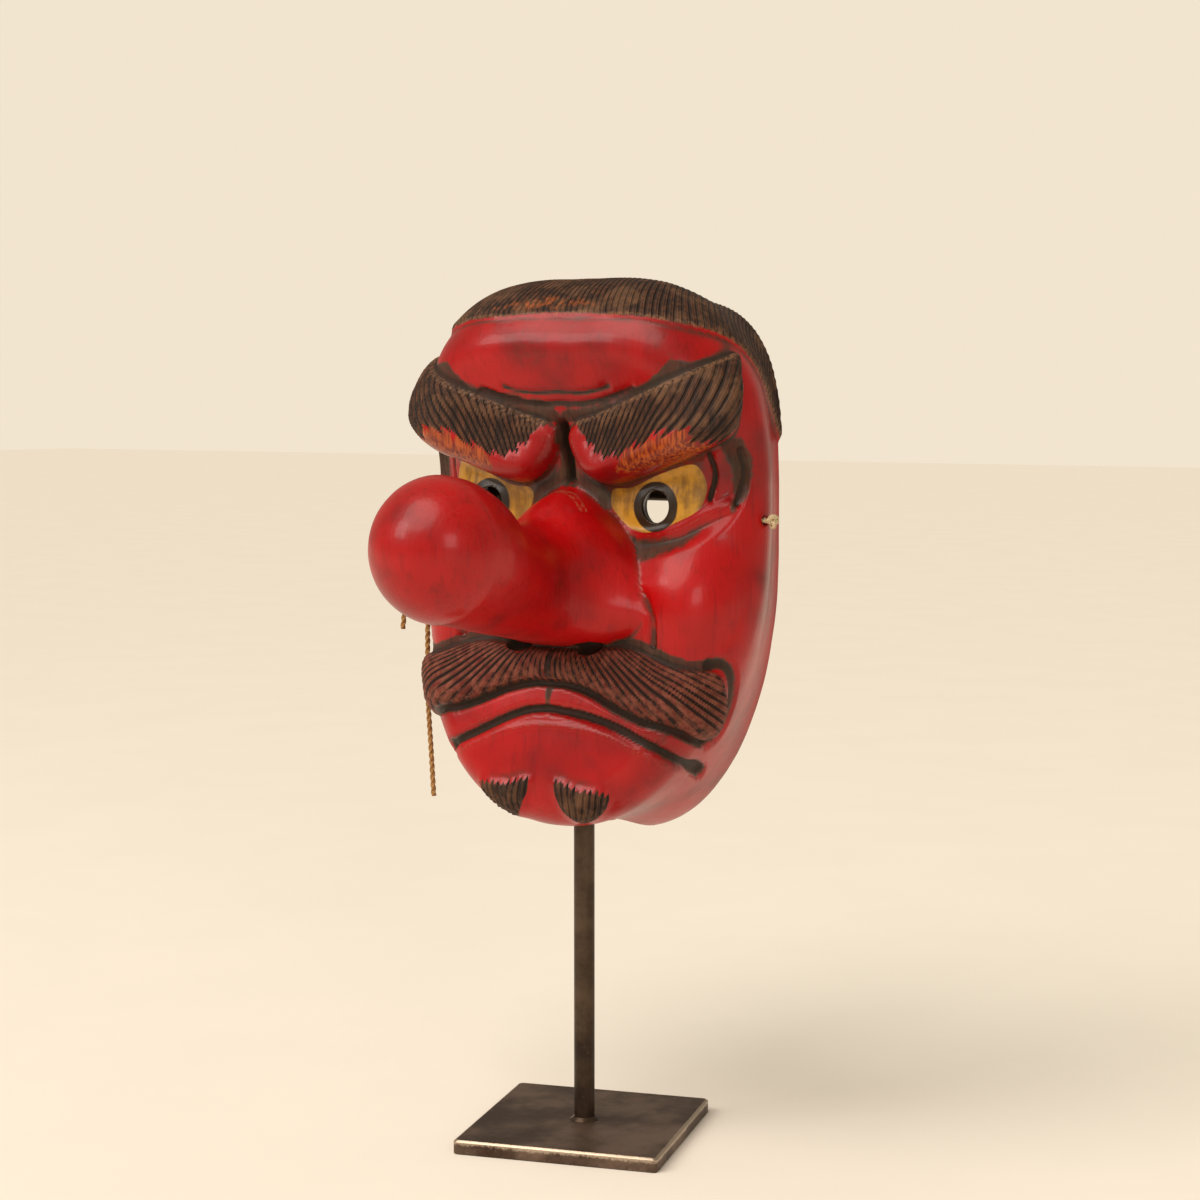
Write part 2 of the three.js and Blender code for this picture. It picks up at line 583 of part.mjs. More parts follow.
// The tying cord: across the hollow from hole to hole, knotted outside both, with two loose
// ends hanging from the far knot. Routes are chosen by hand, in drawn units.
const KNOT_X = 76.3;
const CORD_ROUTE = [
  [72.7, 10.5, 125], [66, 10.5, 125], [60, 11.5, 124.7], [50, 15.2, 122.8], [36, 19.6, 120.2],
  [20, 22.4, 117.8], [7, 23, 117], [-7, 23, 117], [-20, 22.4, 117.8], [-36, 19.6, 120.2],
  [-50, 15.2, 122.8], [-60, 11.5, 124.7], [-66, 10.5, 125], [-72.7, 10.5, 125],
];
const LONG_END_ROUTE = [
  [-78.2, 11, 121.2], [-79.3, 11, 115], [-80.3, 11, 105], [-80.8, 10.8, 91], [-81, 10.6, 75],
  [-81, 10.5, 60], [-80.8, 10.5, 46], [-79.6, 10.5, 28], [-78.4, 10.5, 9],
];
const SHORT_END_ROUTE = [
  [-80.2, 10, 123.6], [-83.8, 9.6, 121], [-87.2, 9.3, 114], [-89.4, 9, 104], [-90.6, 9, 94],
  [-91.2, 9, 85], [-92.2, 9, 76.5],
];

function cordGeometry(route) {
  const curve = new THREE.CatmullRomCurve3(route.map((p) => new THREE.Vector3(...p).multiplyScalar(CARVE)));
  const section = new THREE.Shape().absarc(0, 0, CORD_DIAMETER / 2, 0, 2 * Math.PI);
  const steps = Math.round(curve.getLength() / (2.5 * CORD_DIAMETER));
  return new THREE.ExtrudeGeometry(section, { steps, curveSegments: 4, extrudePath: curve });
}

function knotGeometry(side) {
  const ball = new THREE.SphereGeometry(KNOT_DIAMETER / 2, 12, 8);
  return placed(ball, [side * KNOT_X * CARVE, CORD_HOLE.y * CARVE, CORD_HOLE.z * CARVE]);
}

const group = new THREE.Group();
const carved = new THREE.Group();
carved.position.z = maskBottom;
carved.add(
  piece('mask', maskGeometry(), woodRed),
  piece('tie_cord', cordGeometry(CORD_ROUTE), hemp),
  piece('tie_knot_near', knotGeometry(1), hemp),
  piece('tie_knot_far', knotGeometry(-1), hemp),
  piece('tie_end_long', cordGeometry(LONG_END_ROUTE), hemp),
  piece('tie_end_short', cordGeometry(SHORT_END_ROUTE), hemp),
);
const plate = piece('stand_plate', plateGeometry(), steelBrown);
plate.rotation.z = THREE.MathUtils.degToRad(PLATE_TURN_DEG);
group.add(carved, plate, piece('stand_post', postGeometry(), rodBrown));

export default group;
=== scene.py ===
"""Looks of a carved long-nosed goblin mask on a steel museum stand.

The mask is one hollow wooden block with its nose, brows, moustache and hair band carved on it,
painted red and dark brown. It hangs in a rod cradle on a square foot plate. The carving is
drawn in millimetres, z above the chin and the face towards -Y, and set in metres in the frame.
"""
from __future__ import annotations

import logging
import math
from dataclasses import dataclass, field
from enum import Enum
from typing import Any, Callable, Sequence

import bpy
import numpy as np
from mathutils import Matrix, Vector
from mathutils.kdtree import KDTree


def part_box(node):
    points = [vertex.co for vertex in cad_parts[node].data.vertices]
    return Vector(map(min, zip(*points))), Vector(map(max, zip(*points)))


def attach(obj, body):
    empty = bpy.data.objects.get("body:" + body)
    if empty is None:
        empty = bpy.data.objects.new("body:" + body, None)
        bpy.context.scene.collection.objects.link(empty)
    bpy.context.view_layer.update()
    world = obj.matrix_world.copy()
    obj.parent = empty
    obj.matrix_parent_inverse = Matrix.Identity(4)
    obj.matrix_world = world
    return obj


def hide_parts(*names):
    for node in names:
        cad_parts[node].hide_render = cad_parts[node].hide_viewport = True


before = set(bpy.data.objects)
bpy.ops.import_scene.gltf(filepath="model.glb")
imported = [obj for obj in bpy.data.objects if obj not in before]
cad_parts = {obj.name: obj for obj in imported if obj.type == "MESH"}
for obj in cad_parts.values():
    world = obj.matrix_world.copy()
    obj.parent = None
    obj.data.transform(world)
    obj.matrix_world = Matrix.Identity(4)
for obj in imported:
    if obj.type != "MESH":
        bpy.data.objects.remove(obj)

LOG = logging.getLogger("mask")
Array = np.ndarray
Triple = tuple[float, float, float]
Five = tuple[float, float, float, float, float]
Line = list[list[float]]
Route = Sequence[Sequence[float]]
Faces = list[tuple[int, ...]]
MM = 0.001
MASK_BOTTOM = 115.0
FULL_TURN = 2 * math.pi
FAR = 50.0


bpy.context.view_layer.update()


class Slot(Enum):
    """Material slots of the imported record."""

    WOOD = "painted_wood"
    HEMP = "hemp_cord"
    PLATE = "plate_steel"
    POST = "post_steel"


class Trait(Enum):
    """What the carver's and painter's work is at a point, with painted shade and painted highlights,
    kept on the mesh for the finishes.
    """

    HAIR = "hair"
    TACHE = "tache"
    GRIME = "grime"
    GOLD = "gold"
    RING = "ring"
    WOOD = "wood"
    LINE = "line"
    STRAND = "strand"
    HOLLOW = "hollow"
    CAVITY = "cavity"


class Value:
    """A shader socket that sums and comparisons can be written on."""

    def __init__(self, graph: Graph, socket: bpy.types.NodeSocket | None) -> None:
        """Holds the socket of a node in the graph."""
        self.graph = graph
        self.socket = socket

    def _math(self, operation: str, *others: Any) -> Value:
        """Adds one Math node.

        Args:
            operation: the node's operation.
            others: the second and third operands, sockets or numbers.
        Returns:
            The node's result.
        """
        sockets = {0: self, **{i + 1: other for i, other in enumerate(others)}}
        return self.graph.add("ShaderNodeMath", {"operation": operation}, sockets)

    def __add__(self, other: Any) -> Value:
        """Sum."""
        return self._math("ADD", other)

    __radd__ = __add__

    def __sub__(self, other: Any) -> Value:
        """Difference."""
        return self._math("SUBTRACT", other)

    def __rsub__(self, other: Any) -> Value:
        """Difference with a number in front."""
        return self._math("MULTIPLY", -1.0)._math("ADD", other)

    def __mul__(self, other: Any) -> Value:
        """Product."""
        return self._math("MULTIPLY", other)

    __rmul__ = __mul__

    def __truediv__(self, other: Any) -> Value:
        """Quotient."""
        return self._math("DIVIDE", other)

    def sine(self) -> Value:
        """Sine."""
        return self._math("SINE")

    def cosine(self) -> Value:
        """Cosine."""
        return self._math("COSINE")

    def size(self) -> Value:
        """Absolute value."""
        return self._math("ABSOLUTE")

    def fraction(self) -> Value:
        """What is left over the whole number below."""
        return self._math("FRACT")

    def larger(self, other: Any) -> Value:
        """The larger of two."""
        return self._math("MAXIMUM", other)

    def between(self, low: float, high: float) -> Value:
        """Smooth rise from 0 at low to 1 at high, or a fall where low is the larger.

        Args:
            low: value that gives 0.
            high: value that gives 1.
        Returns:
            The smoothed step.
        """
        flipped = low > high
        ends = {1: min(low, high), 2: max(low, high), 3: float(flipped), 4: float(not flipped)}
        settings = {"interpolation_type": "SMOOTHSTEP"}
        return self.graph.add("ShaderNodeMapRange", settings, {0: self, **ends})


class Graph:
    """A tree's nodes, added by type, settings and sockets."""

    def __init__(self, tree: bpy.types.NodeTree) -> None:
        """Holds the tree."""
        self.tree = tree

    def add(self, kind: str, settings: dict[str, Any] | None = None,
            sockets: dict[Any, Any] | None = None, result: int | str = 0) -> Value:
        """Adds a node.

        Args:
            kind: the node's type.
            settings: its properties.
            sockets: inputs by name or number, each a Value, a number or a colour.
            result: the output wanted, by name or number.
        Returns:
            The chosen output.
        """
        node = self.tree.nodes.new(kind)
        for key, setting in (settings or {}).items():
            setattr(node, key, setting)
        for key, value in (sockets or {}).items():
            if isinstance(value, Value):
                self.tree.links.new(value.socket, node.inputs[key])
            elif isinstance(value, tuple) and len(value) == 3 and node.inputs[key].type == "RGBA":
                node.inputs[key].default_value = (*value, 1.0)
            else:
                node.inputs[key].default_value = value
        return Value(self, node.outputs[result] if node.outputs else None)


class Finish(Graph):
    """A material's nodes."""

    def __init__(self, name: str) -> None:
        """Makes an empty material with an output."""
        self.material = bpy.data.materials.new(name)
        self.material.use_nodes = True
        super().__init__(self.material.node_tree)
        self.tree.nodes.clear()
        self.output = self.tree.nodes.new("ShaderNodeOutputMaterial")
        self._coords: Value | None = None

    @property
    def coords(self) -> Value:
        """Object coordinates in metres."""
        if self._coords is None:
            self._coords = self.add("ShaderNodeTexCoord", result="Object")
        return self._coords

    def trait(self, name: Trait) -> Value:
        """The mesh's own value for a trait."""
        return self.add("ShaderNodeAttribute", {"attribute_name": name.value}, result="Fac")

    def stretched(self, scale: Triple) -> Value:
        """Object coordinates, scaled for a pattern with a direction."""
        return self.add("ShaderNodeMapping", None, {"Vector": self.coords, "Scale": scale})

    def noise(self, scale: float, detail: float = 3.0, rough: float = 0.55,
              at: Value | None = None) -> Value:
        """Noise from 0 to 1.

        Args:
            scale: cycles a metre, or on the given coordinates.
            detail: octaves.
            rough: how strong the finer octaves are.
            at: coordinates, the object's own by default.
        Returns:
            The noise factor.
        """
        sockets = {"Vector": at or self.coords, "Scale": scale, "Detail": detail,
                   "Roughness": rough}
        return self.add("ShaderNodeTexNoise", None, sockets, "Fac")

    def blend(self, factor: Any, under: Any, over: Any) -> Value:
        """Lays one colour over another.

        Args:
            factor: how much of the upper colour shows.
            under: the lower colour.
            over: the upper colour.
        Returns:
            The mixed colour.
        """
        return self.add("ShaderNodeMix", {"data_type": "RGBA"}, {0: factor, 6: under, 7: over}, 2)

    def layers(self, under: Any, *coats: tuple[Any, Any]) -> Value:
        """Lays colours over one another, each given after how much of it shows."""
        for factor, over in coats:
            under = self.blend(factor, under, over)
        return under

    def bump(self, height: Value, depth: float) -> Value:
        """Relief of the given depth in metres."""
        sockets = {"Height": height, "Distance": depth, "Strength": 1.0}
        return self.add("ShaderNodeBump", None, sockets, "Normal")

    def shade(self, constants: dict[str, Any], varied: dict[str, Value]) -> bpy.types.Material:
        """Closes the material with a Principled shader.

        Args:
            constants: sockets with one value all over.
            varied: sockets that change over the surface.
        Returns:
            The finished material.
        """
        shader = self.add("ShaderNodeBsdfPrincipled", None, {**constants, **varied}, "BSDF")
        self.tree.links.new(shader.socket, self.output.inputs["Surface"])
        return self.material


def srgb(red: int, green: int, blue: int) -> Triple:
    """A screen colour, 0 to 255, as linear light."""
    parts = [c / 255 for c in (red, green, blue)]
    return tuple(c / 12.92 if c <= 0.04045 else ((c + 0.055) / 1.055) ** 2.4 for c in parts)


def ease(t: Array) -> Array:
    """Smooth rise from 0 to 1."""
    t = np.clip(t, 0, 1)
    return t * t * (3 - 2 * t)


def bump(distance: Array, reach: float) -> Array:
    """Round hump, 1 at the middle and 0 at its reach."""
    return np.clip(1 - (distance / reach) ** 2, 0, 1) ** 2


def step(distance: Array, width: float) -> Array:
    """Smooth edge of the given width where the distance turns positive."""
    return ease(0.5 + distance / (2 * width))


def mix(a: Any, b: Any, t: Any) -> Any:
    """Value a share of the way from a to b."""
    return a + (b - a) * t


def groove(distance: Array, half_width: Array | float, depth: float) -> Array:
    """Depth of a gouge cut, below zero in the cut."""
    return -depth * np.clip(1 - (distance / half_width) ** 2, 0, 1) ** 0.8


def path_distance(q: Array, z: Array, path: Route) -> Array:
    """Distance to a line of points.

    Args:
        q: sideways coordinates.
        z: heights.
        path: the line's points.
    Returns:
        Distances.
    """
    best = np.full(np.shape(q), np.inf)
    for (ax, az), (bx, bz) in zip(path[:-1], path[1:]):
        length2 = (bx - ax) ** 2 + (bz - az) ** 2
        t = np.clip(((q - ax) * (bx - ax) + (z - az) * (bz - az)) / length2, 0, 1)
        best = np.minimum(best, np.hypot(q - ax - t * (bx - ax), z - az - t * (bz - az)))
    return best


def path_share(q: Array, z: Array, path: Route) -> Array:
    """How far along a line, 0 to 1, its nearest point lies."""
    best = np.full(np.shape(q), np.inf)
    share = np.zeros(np.shape(q))
    lengths = [math.dist(a, b) for a, b in zip(path[:-1], path[1:])]
    done = 0.0
    for (ax, az), (bx, bz), length in zip(path[:-1], path[1:], lengths):
        t = np.clip(((q - ax) * (bx - ax) + (z - az) * (bz - az)) / length**2, 0, 1)
        away = np.hypot(q - ax - t * (bx - ax), z - az - t * (bz - az))
        nearer = away < best
        best = np.where(nearer, away, best)
        share = np.where(nearer, (done + t * length) / sum(lengths), share)
        done += length
    return share


def inside_distance(q: Array, z: Array, outline: Route) -> Array:
    """Distance to the edge of a closed outline, positive inside."""
    inside = np.zeros(np.shape(q), bool)
    for (ax, az), (bx, bz) in zip([outline[-1], *outline[:-1]], outline):
        if az != bz:
            crosses = ((bz > z) != (az > z)) & (q < (ax - bx) * (z - bz) / (az - bz) + bx)
            inside ^= crosses
    edge = path_distance(q, z, [*outline, outline[0]])
    return np.where(inside, edge, -edge)


def measures(q: Array, z: Array) -> tuple[Callable[[Line], Array], Callable[[Line], Array]]:
    """Distance to a line, and distance inside an outline, for points at the given places."""
    return (lambda line: path_distance(q, z, line)), (lambda line: inside_distance(q, z, line))


def above_line(q: Array, z: Array, line: Route) -> Array:
    """Distance to a line that runs sideways, positive above it."""
    heights = np.interp(q, [p[0] for p in line], [p[1] for p in line])
    return np.where(z > heights, 1, -1) * path_distance(q, z, line)


def wobble(a: Array, b: Array, size: float, seed: float) -> Array:
    """Even, smooth unevenness of a hand's work, from -1 to 1."""
    a, b = a / size, b / size
    total = np.sin(1.3 * a + 0.9 * b + seed) + np.sin(-0.8 * a + 1.6 * b + 2.1 * seed)
    total += np.sin(2.3 * a - 1.9 * b + 3.7 * seed) * 0.6
    total += np.sin(3.1 * a + 2.7 * b + 5.3 * seed) * 0.4
    return total / 3.0


@dataclass(frozen=True)
class Block:
    """The mask's plain block, before its features: a bowl with rounded edges, open at the back."""

    middle: float = 110.5
    half_width: float = 62.7
    crown_rise: float = 96.2
    roundness: tuple[float, float] = (4.0, 2.05)
    corner: Triple = (27.9, 28.1, 12.0)
    wider: Triple = (0.158, 0.07, 0.18)
    taller: tuple[float, float] = (0.069, 0.079)
    rim: float = 40.0
    depth: float = 57.0
    wall: float = 8.5
    chin: tuple[float, float] = (20.0, 30.0)
    eyes: tuple[float, float] = (137.0, 10.0)
    crown: tuple[float, float] = (197.0, 26.0)

    def front(self, z: Array) -> Array:
        """Depth of the face's middle line at a height."""
        rise = ease((z - self.chin[0]) / (self.eyes[0] - self.chin[0]))
        swell = ease((z - self.eyes[0]) / (self.crown[0] - self.eyes[0]))
        at_chin, at_eyes, at_crown = self.chin[1], self.eyes[1], self.crown[1]
        return -at_chin + (at_chin - at_eyes) * rise - (at_crown - at_eyes) * swell

    def point(self, u: Array, v: Array) -> Array:
        """Surface points for places on the unit disc, 0 at the face's middle and 1 at the rim.

        Args:
            u: places across.
            v: places up.
        Returns:
            Points in drawn millimetres, one row each.
        """
        r = np.hypot(u, v)
        safe = np.maximum(r, 1e-9)
        cu = np.where(r > 1e-9, u / safe, 1.0)
        cv = np.where(r > 1e-9, v / safe, 0.0)
        upper = cv > 0
        half_tall = np.where(upper, self.crown_rise, self.middle)
        power = np.where(upper, *self.roundness)
        reach = (np.abs(cu) / self.half_width) ** power + (np.abs(cv) / half_tall) ** power
        reach = reach ** (-1 / power)
        side_corner, crown_corner, chin_corner = self.corner
        corner = mix(side_corner, np.where(upper, crown_corner, chin_corner), cv * cv)
        flat = reach - corner
        turn = corner * math.pi / 2
        along = r * (flat + turn + self.depth - corner)
        angle = np.clip((along - flat) / corner, 0, math.pi / 2)
        rho = np.where(along < flat, along / reach, (flat + corner * np.sin(angle)) / reach)
        side = (flat + turn + self.depth - corner - along) / self.depth
        bend = (self.depth - corner + corner * np.cos(angle)) / self.depth
        depth = np.where(along < flat + turn, bend, side)
        t = ease(depth / 0.6)
        taller = np.where(upper, self.taller[0], -self.taller[1])
        z = self.middle + reach * cv * rho * (1 + taller * t)
        wide, at_chin, at_crown = self.wider
        swell = wide + at_chin * ease((45 - z) / 55) - at_crown * ease((z - 170) / 50)
        x = reach * cu * rho * (1 + swell * t)
        return np.stack([x, self.rim - (self.rim - self.front(z)) * depth, z], -1)

    def normal(self, u: Array, v: Array) -> Array:
        """Outward directions at places on the disc."""
        e = 0.004
        du = self.point(u + e, v) - self.point(u - e, v)
        dv = self.point(u, v + e) - self.point(u, v - e)
        n = np.cross(du, dv)
        return n / np.linalg.norm(n, axis=-1, keepdims=True)

    def sideways(self, points: Array) -> Array:
        """Sideways coordinate that runs on round the cheek to the rim."""
        x, y, z = np.moveaxis(points, -1, 0)
        return np.abs(x) + 0.8 * np.maximum(0, y - self.front(z))


def rounded(line: Line, closed: bool = False, parts: int = 5) -> Line:
    """A smooth line through points.

    Args:
        line: the points.
        closed: whether the last joins the first.
        parts: pieces between two points.
    Returns:
        The finer line, without a repeated first point.
    """
    p = np.array(line, float)
    ends = (p[-1:], p[:2]) if closed else (2 * p[:1] - p[1:2], 2 * p[-1:] - p[-2:-1])
    p = np.concatenate([ends[0], p, ends[1]])
    t = (np.arange(parts) / parts)[:, None, None]
    a, b, c, d = (p[k:len(p) - 3 + k][None] for k in range(4))
    curve = 2 * b + (c - a) * t
    curve = curve + (2 * a - 5 * b + 4 * c - d) * t**2 + (3 * b - a - 3 * c + d) * t**3
    fine = (0.5 * curve).transpose(1, 0, 2).reshape(-1, p.shape[1])
    return fine.tolist() if closed else [*fine.tolist(), list(line[-1])]


def drawn(points: Line, closed: bool = False, parts: int = 5) -> Any:
    """A drawing's field that holds a rounded line."""
    return field(default_factory=lambda: rounded(points, closed, parts))


@dataclass(frozen=True)
class Drawing:
    """The carver's outlines on the right half, as (sideways, height) in drawn millimetres."""

    hairline: Line = drawn([
        [-9, 201.5], [35, 199.5], [62, 196], [79, 192.5], [90, 187], [97, 179], [101, 169],
        [104, 157], [107, 147]])
    brow: Line = drawn([
        [3, 153], [5, 148], [9, 142.5], [14, 139], [20, 137.8], [31, 140.3], [45, 145.3],
        [61, 151.5], [73, 157], [79, 166], [83, 176], [85, 185.5], [72, 182.2], [57.4, 178.2],
        [36.5, 171.2], [17, 164], [7, 161], [3, 157.5]], True)
    brow_ridge: Line = drawn([
        [7, 161], [17, 164], [36.5, 171.2], [57.4, 178.2], [72, 182.2], [85, 185.5]])
    brow_hair: Line = drawn([
        [8, 161.6], [17, 164.3], [36.5, 171.5], [57.4, 178.5], [72, 182.4], [85, 185.5],
        [83, 177], [79.5, 167.5], [75, 159.5], [67, 156.8], [61, 156], [57, 158.5], [55, 162],
        [49, 161.5], [41, 158], [33, 154.5], [27, 152], [22, 151.3], [17, 153.5], [12, 157.5]],
        True, 4)
    brow_worn: Line = drawn([
        [27, 147], [31, 154], [41, 158], [50, 162], [55, 162], [57, 158], [61, 155.5],
        [65, 155.5], [59, 151.5], [48, 148], [38, 145.5], [30, 144]], True, 3)
    eye: Line = drawn([
        [17.3, 132.5], [19, 136.2], [27, 137], [39, 142], [51, 145.2], [56.5, 143], [59.3, 137],
        [56, 129.5], [47, 125], [39, 121.5], [32, 120.5], [25, 122.5], [19, 127.5]], True)
    eye_centre: tuple[float, float] = (36.9, 130.0)
    lower_lid: Line = drawn([
        [14, 132], [17, 125.8], [22.2, 121], [32, 119.2], [45.5, 121.6], [56, 126], [70, 131]])
    socket: Line = drawn([
        [16, 130], [20, 119.5], [32, 114.5], [46, 116], [58, 121], [70, 128], [77, 139],
        [74, 151], [60, 149], [40, 144], [20, 137]], True)
    moustache: Line = drawn([
        [-5, 75.5], [8, 76.5], [20, 77.5], [33, 77.5], [43.6, 75], [51.2, 72.3], [60, 71],
        [70.7, 70.5], [75.5, 67.5], [79.5, 61], [81, 54], [79.5, 47.5], [74, 44.6], [67, 46.2],
        [60, 49.2], [50, 52], [39.3, 54], [28.2, 58], [18, 62.3], [8, 64.5], [-5, 65]], True, 4)
    moustache_gouge: Line = drawn([
        [68, 73.5], [75, 73.2], [81, 69.5], [84.5, 62], [84.8, 53], [82, 45.5], [76, 42.5]])
    moustache_top: Line = drawn([
        [-1, 77.5], [10, 78.5], [22, 79.5], [34, 79.5], [44, 76.5], [52, 73.8], [60, 72.5],
        [69, 73]])
    under_moustache: Line = drawn([
        [-1, 64], [8, 63.4], [18, 61], [28.2, 56.6], [39.3, 52.6], [50, 50.6], [60, 47.6],
        [67, 44.6], [74, 42.6], [80, 44.5]])
    mouth: Line = drawn([
        [-1, 54.6], [14.3, 53], [29, 49.8], [41, 45.3], [53.4, 40.4], [70.7, 32.9], [77, 29.5]])
    mouth_left: Line = drawn([
        [-1, 54.6], [9, 53.4], [18.9, 49.8], [31.2, 43.8], [44.6, 37.5], [50, 34.8]])
    lip: Line = drawn([
        [-1, 48.2], [10, 48], [24, 46.4], [34, 43.6], [44.4, 40], [57, 35], [68, 30.5]])
    lip_left: Line = drawn([
        [-1, 48.2], [9, 47.2], [18.9, 44.3], [30, 39.6], [38, 36.2]])
    tuft: Line = drawn([
        [5, 27], [9, 27.5], [15.6, 25.5], [23.5, 25.3], [29.7, 24.3], [28, 18], [23, 13.6],
        [17, 13], [9, 18]], True, 4)
    frowns: tuple[Line, ...] = field(default_factory=lambda: (
        rounded([[-1, 172], [9, 171.6], [17, 172.4], [23, 174]]),
        rounded([[-1, 167.8], [8, 167.6], [16, 168.6], [25, 170.6], [33, 173]])))
    corner_lines: tuple[Line, ...] = field(default_factory=lambda: (
        rounded([[62, 148.5], [64, 141.5], [61, 133.5]]),
        rounded([[77.5, 151], [79, 142], [75, 131.5]])))
    corner_shade: Line = drawn([
        [66, 153.8], [76, 156.5], [81.5, 151], [82, 143], [78.5, 133.5], [71.4, 128], [73, 137],
        [72, 146]], True)
    wing_groove: Line = drawn([
        [27, 100], [33, 98.5], [38.5, 95], [42, 89], [42.3, 80]])
    root_shade: Line = drawn([
        [-1, 147], [8, 141], [15, 138], [18, 133], [18, 127], [23, 121], [32, 118], [46, 119.5],
        [58, 123.5], [52, 117], [42, 112], [34, 109.5], [28, 110], [22, 116], [16, 124],
        [12, 130], [6, 134.5], [-1, 137]], True, 4)
    cheek: Five = (52.0, 98.0, 32.0, 27.0, 6.5)
    moustache_root: tuple[float, float] = (1.0, 92.0)
    brow_root: tuple[float, float] = (-10.0, 95.0)


@dataclass
class Carving:
    """Heights and traits of everything carved and painted on the block."""

    block: Block = field(default_factory=Block)
    draw: Drawing = field(default_factory=Drawing)
    hair_pitch: float = 2.3
    hair_apex: float = 400.0
    brow_pitch_deg: float = 1.55
    tache_angles: tuple[float, ...] = (-90, -60, -45, -30, -20, -10, 10)
    tache_counts: tuple[float, ...] = (0, 5.1, 8.2, 12.7, 17.8, 25.1, 45)
    socket_sunk: float = 4.0
    eyeball: Triple = (26.0, 17.0, 4.0)
    brow_roll: tuple[float, float] = (11.0, 10.0)
    ridge_roll: tuple[float, float] = (4.5, 5.0)
    tache_roll: tuple[float, float] = (4.5, 7.0)
    raised: float = 2.0
    hair_from: float = 120.0
    lock_width: float = 0.9
    lock_cut: float = 0.75
    hair_cut: float = 0.45
    tuft_cut: float = 0.7
    mouth_cut: float = 2.8

    def broad(self, q: Array, z: Array) -> Array:
        """Height of the broad forms over the block, as the solid has them."""
        d, away, within = self.draw, *measures(q, z)
        brow = within(d.brow)
        tache = within(d.moustache)
        socket = within(d.socket)
        centre_q, centre_z, wide, high, swell = d.cheek
        cheek = np.hypot((q - centre_q) / wide, (z - centre_z) / high)
        ball_wide, ball_high, ball_rise = self.eyeball
        ball = np.hypot((q - d.eye_centre[0]) / ball_wide, (z - d.eye_centre[1]) / ball_high)

        def roll(inside: Array, size: tuple[float, float]) -> Array:
            return size[0] * np.sqrt(1 - (1 - np.clip(inside / size[1], 0, 1)) ** 2)

        h = swell * bump(cheek, 1) - self.socket_sunk * step(socket, 5) + ball_rise * bump(ball, 1)
        h += 1.5 * bump(away(d.lower_lid), 4)
        near_ridge = bump(away(d.brow_ridge), 18)
        h += mix(roll(brow, self.brow_roll), roll(brow, self.ridge_roll), near_ridge)
        h += self.socket_sunk * step(brow, 4) * step(socket, 5)
        h += roll(tache, self.tache_roll)
        h += self.raised * step(within(d.tuft), 2.5)
        return h

    def strands(self, q: Array, z: Array, u: Array, v: Array) -> dict[str, Array]:
        """Locks of hair: how far inside each growth lies and the count of locks across it.

        Args:
            q: sideways coordinates.
            z: heights.
            u: places on the disc, across.
            v: places on the disc, up.
        Returns:
            The growths' inside distances and lock counts.
        """
        d, away, within = self.draw, *measures(q, z)
        hair = above_line(q, z, d.hairline)
        brow_angle = np.degrees(np.arctan2(z - d.brow_root[1], q - d.brow_root[0]))
        brow_count = brow_angle / self.brow_pitch_deg + 0.3 * wobble(q, z, 13, 2.0)
        below_ridge = ease((away(d.brow_ridge) - 3) / 5)
        spikes = np.cos(FULL_TURN * brow_count) + 0.8 * np.sin(brow_count * 2.3)
        brow = within(d.brow_hair) + 1.3 * spikes * below_ridge
        tuft_count = (q - 0.14 * (z - 18) * np.sign(q - 17)) / 2.6 + 0.2 * wobble(q, z, 6, 4.0)
        tuft = within(d.tuft) + 1.1 * np.cos(FULL_TURN * tuft_count) * ease((z - 20) / 5)
        lean = np.arctan2(150 * np.abs(u), self.hair_apex - 150 * v)
        hair_count = lean * (self.hair_apex - 115) / self.hair_pitch + 0.25 * wobble(q, z, 9, 1.0)
        root_q, root_z = d.moustache_root
        tache_angle = np.degrees(np.arctan2(z - root_z, np.maximum(q - root_q, 0.01)))
        tache_count = np.interp(tache_angle, self.tache_angles, self.tache_counts)
        tache_count = tache_count + 0.2 * wobble(q, z, 11, 3.0)
        return {
            "hair": hair, "brow": brow, "tache": within(d.moustache), "tuft": tuft,
            "hair_count": hair_count, "brow_count": brow_count,
            "tache_count": tache_count, "tuft_count": tuft_count,
        }

    def dress(self, u: Array, v: Array) -> tuple[Array, dict[Trait, Array]]:
        """Carves the block at places on the disc.

        Args:
            u: places across.
            v: places up.
        Returns:
            The carved points and their traits.
        """
        p = self.block.point(u, v)
        n = self.block.normal(u, v)
        q = self.block.sideways(p)
        z = p[..., 2]
        d, away, within = self.draw, *measures(q, z)
        s = self.strands(q, z, u, v)
        hand = wobble(p[..., 0], z, 17, 0.4)

        def lock(count: Array) -> Array:
            cell = np.abs(count - np.round(count)) * 2
            return -np.clip(1 - cell / self.lock_width, 0, 1)

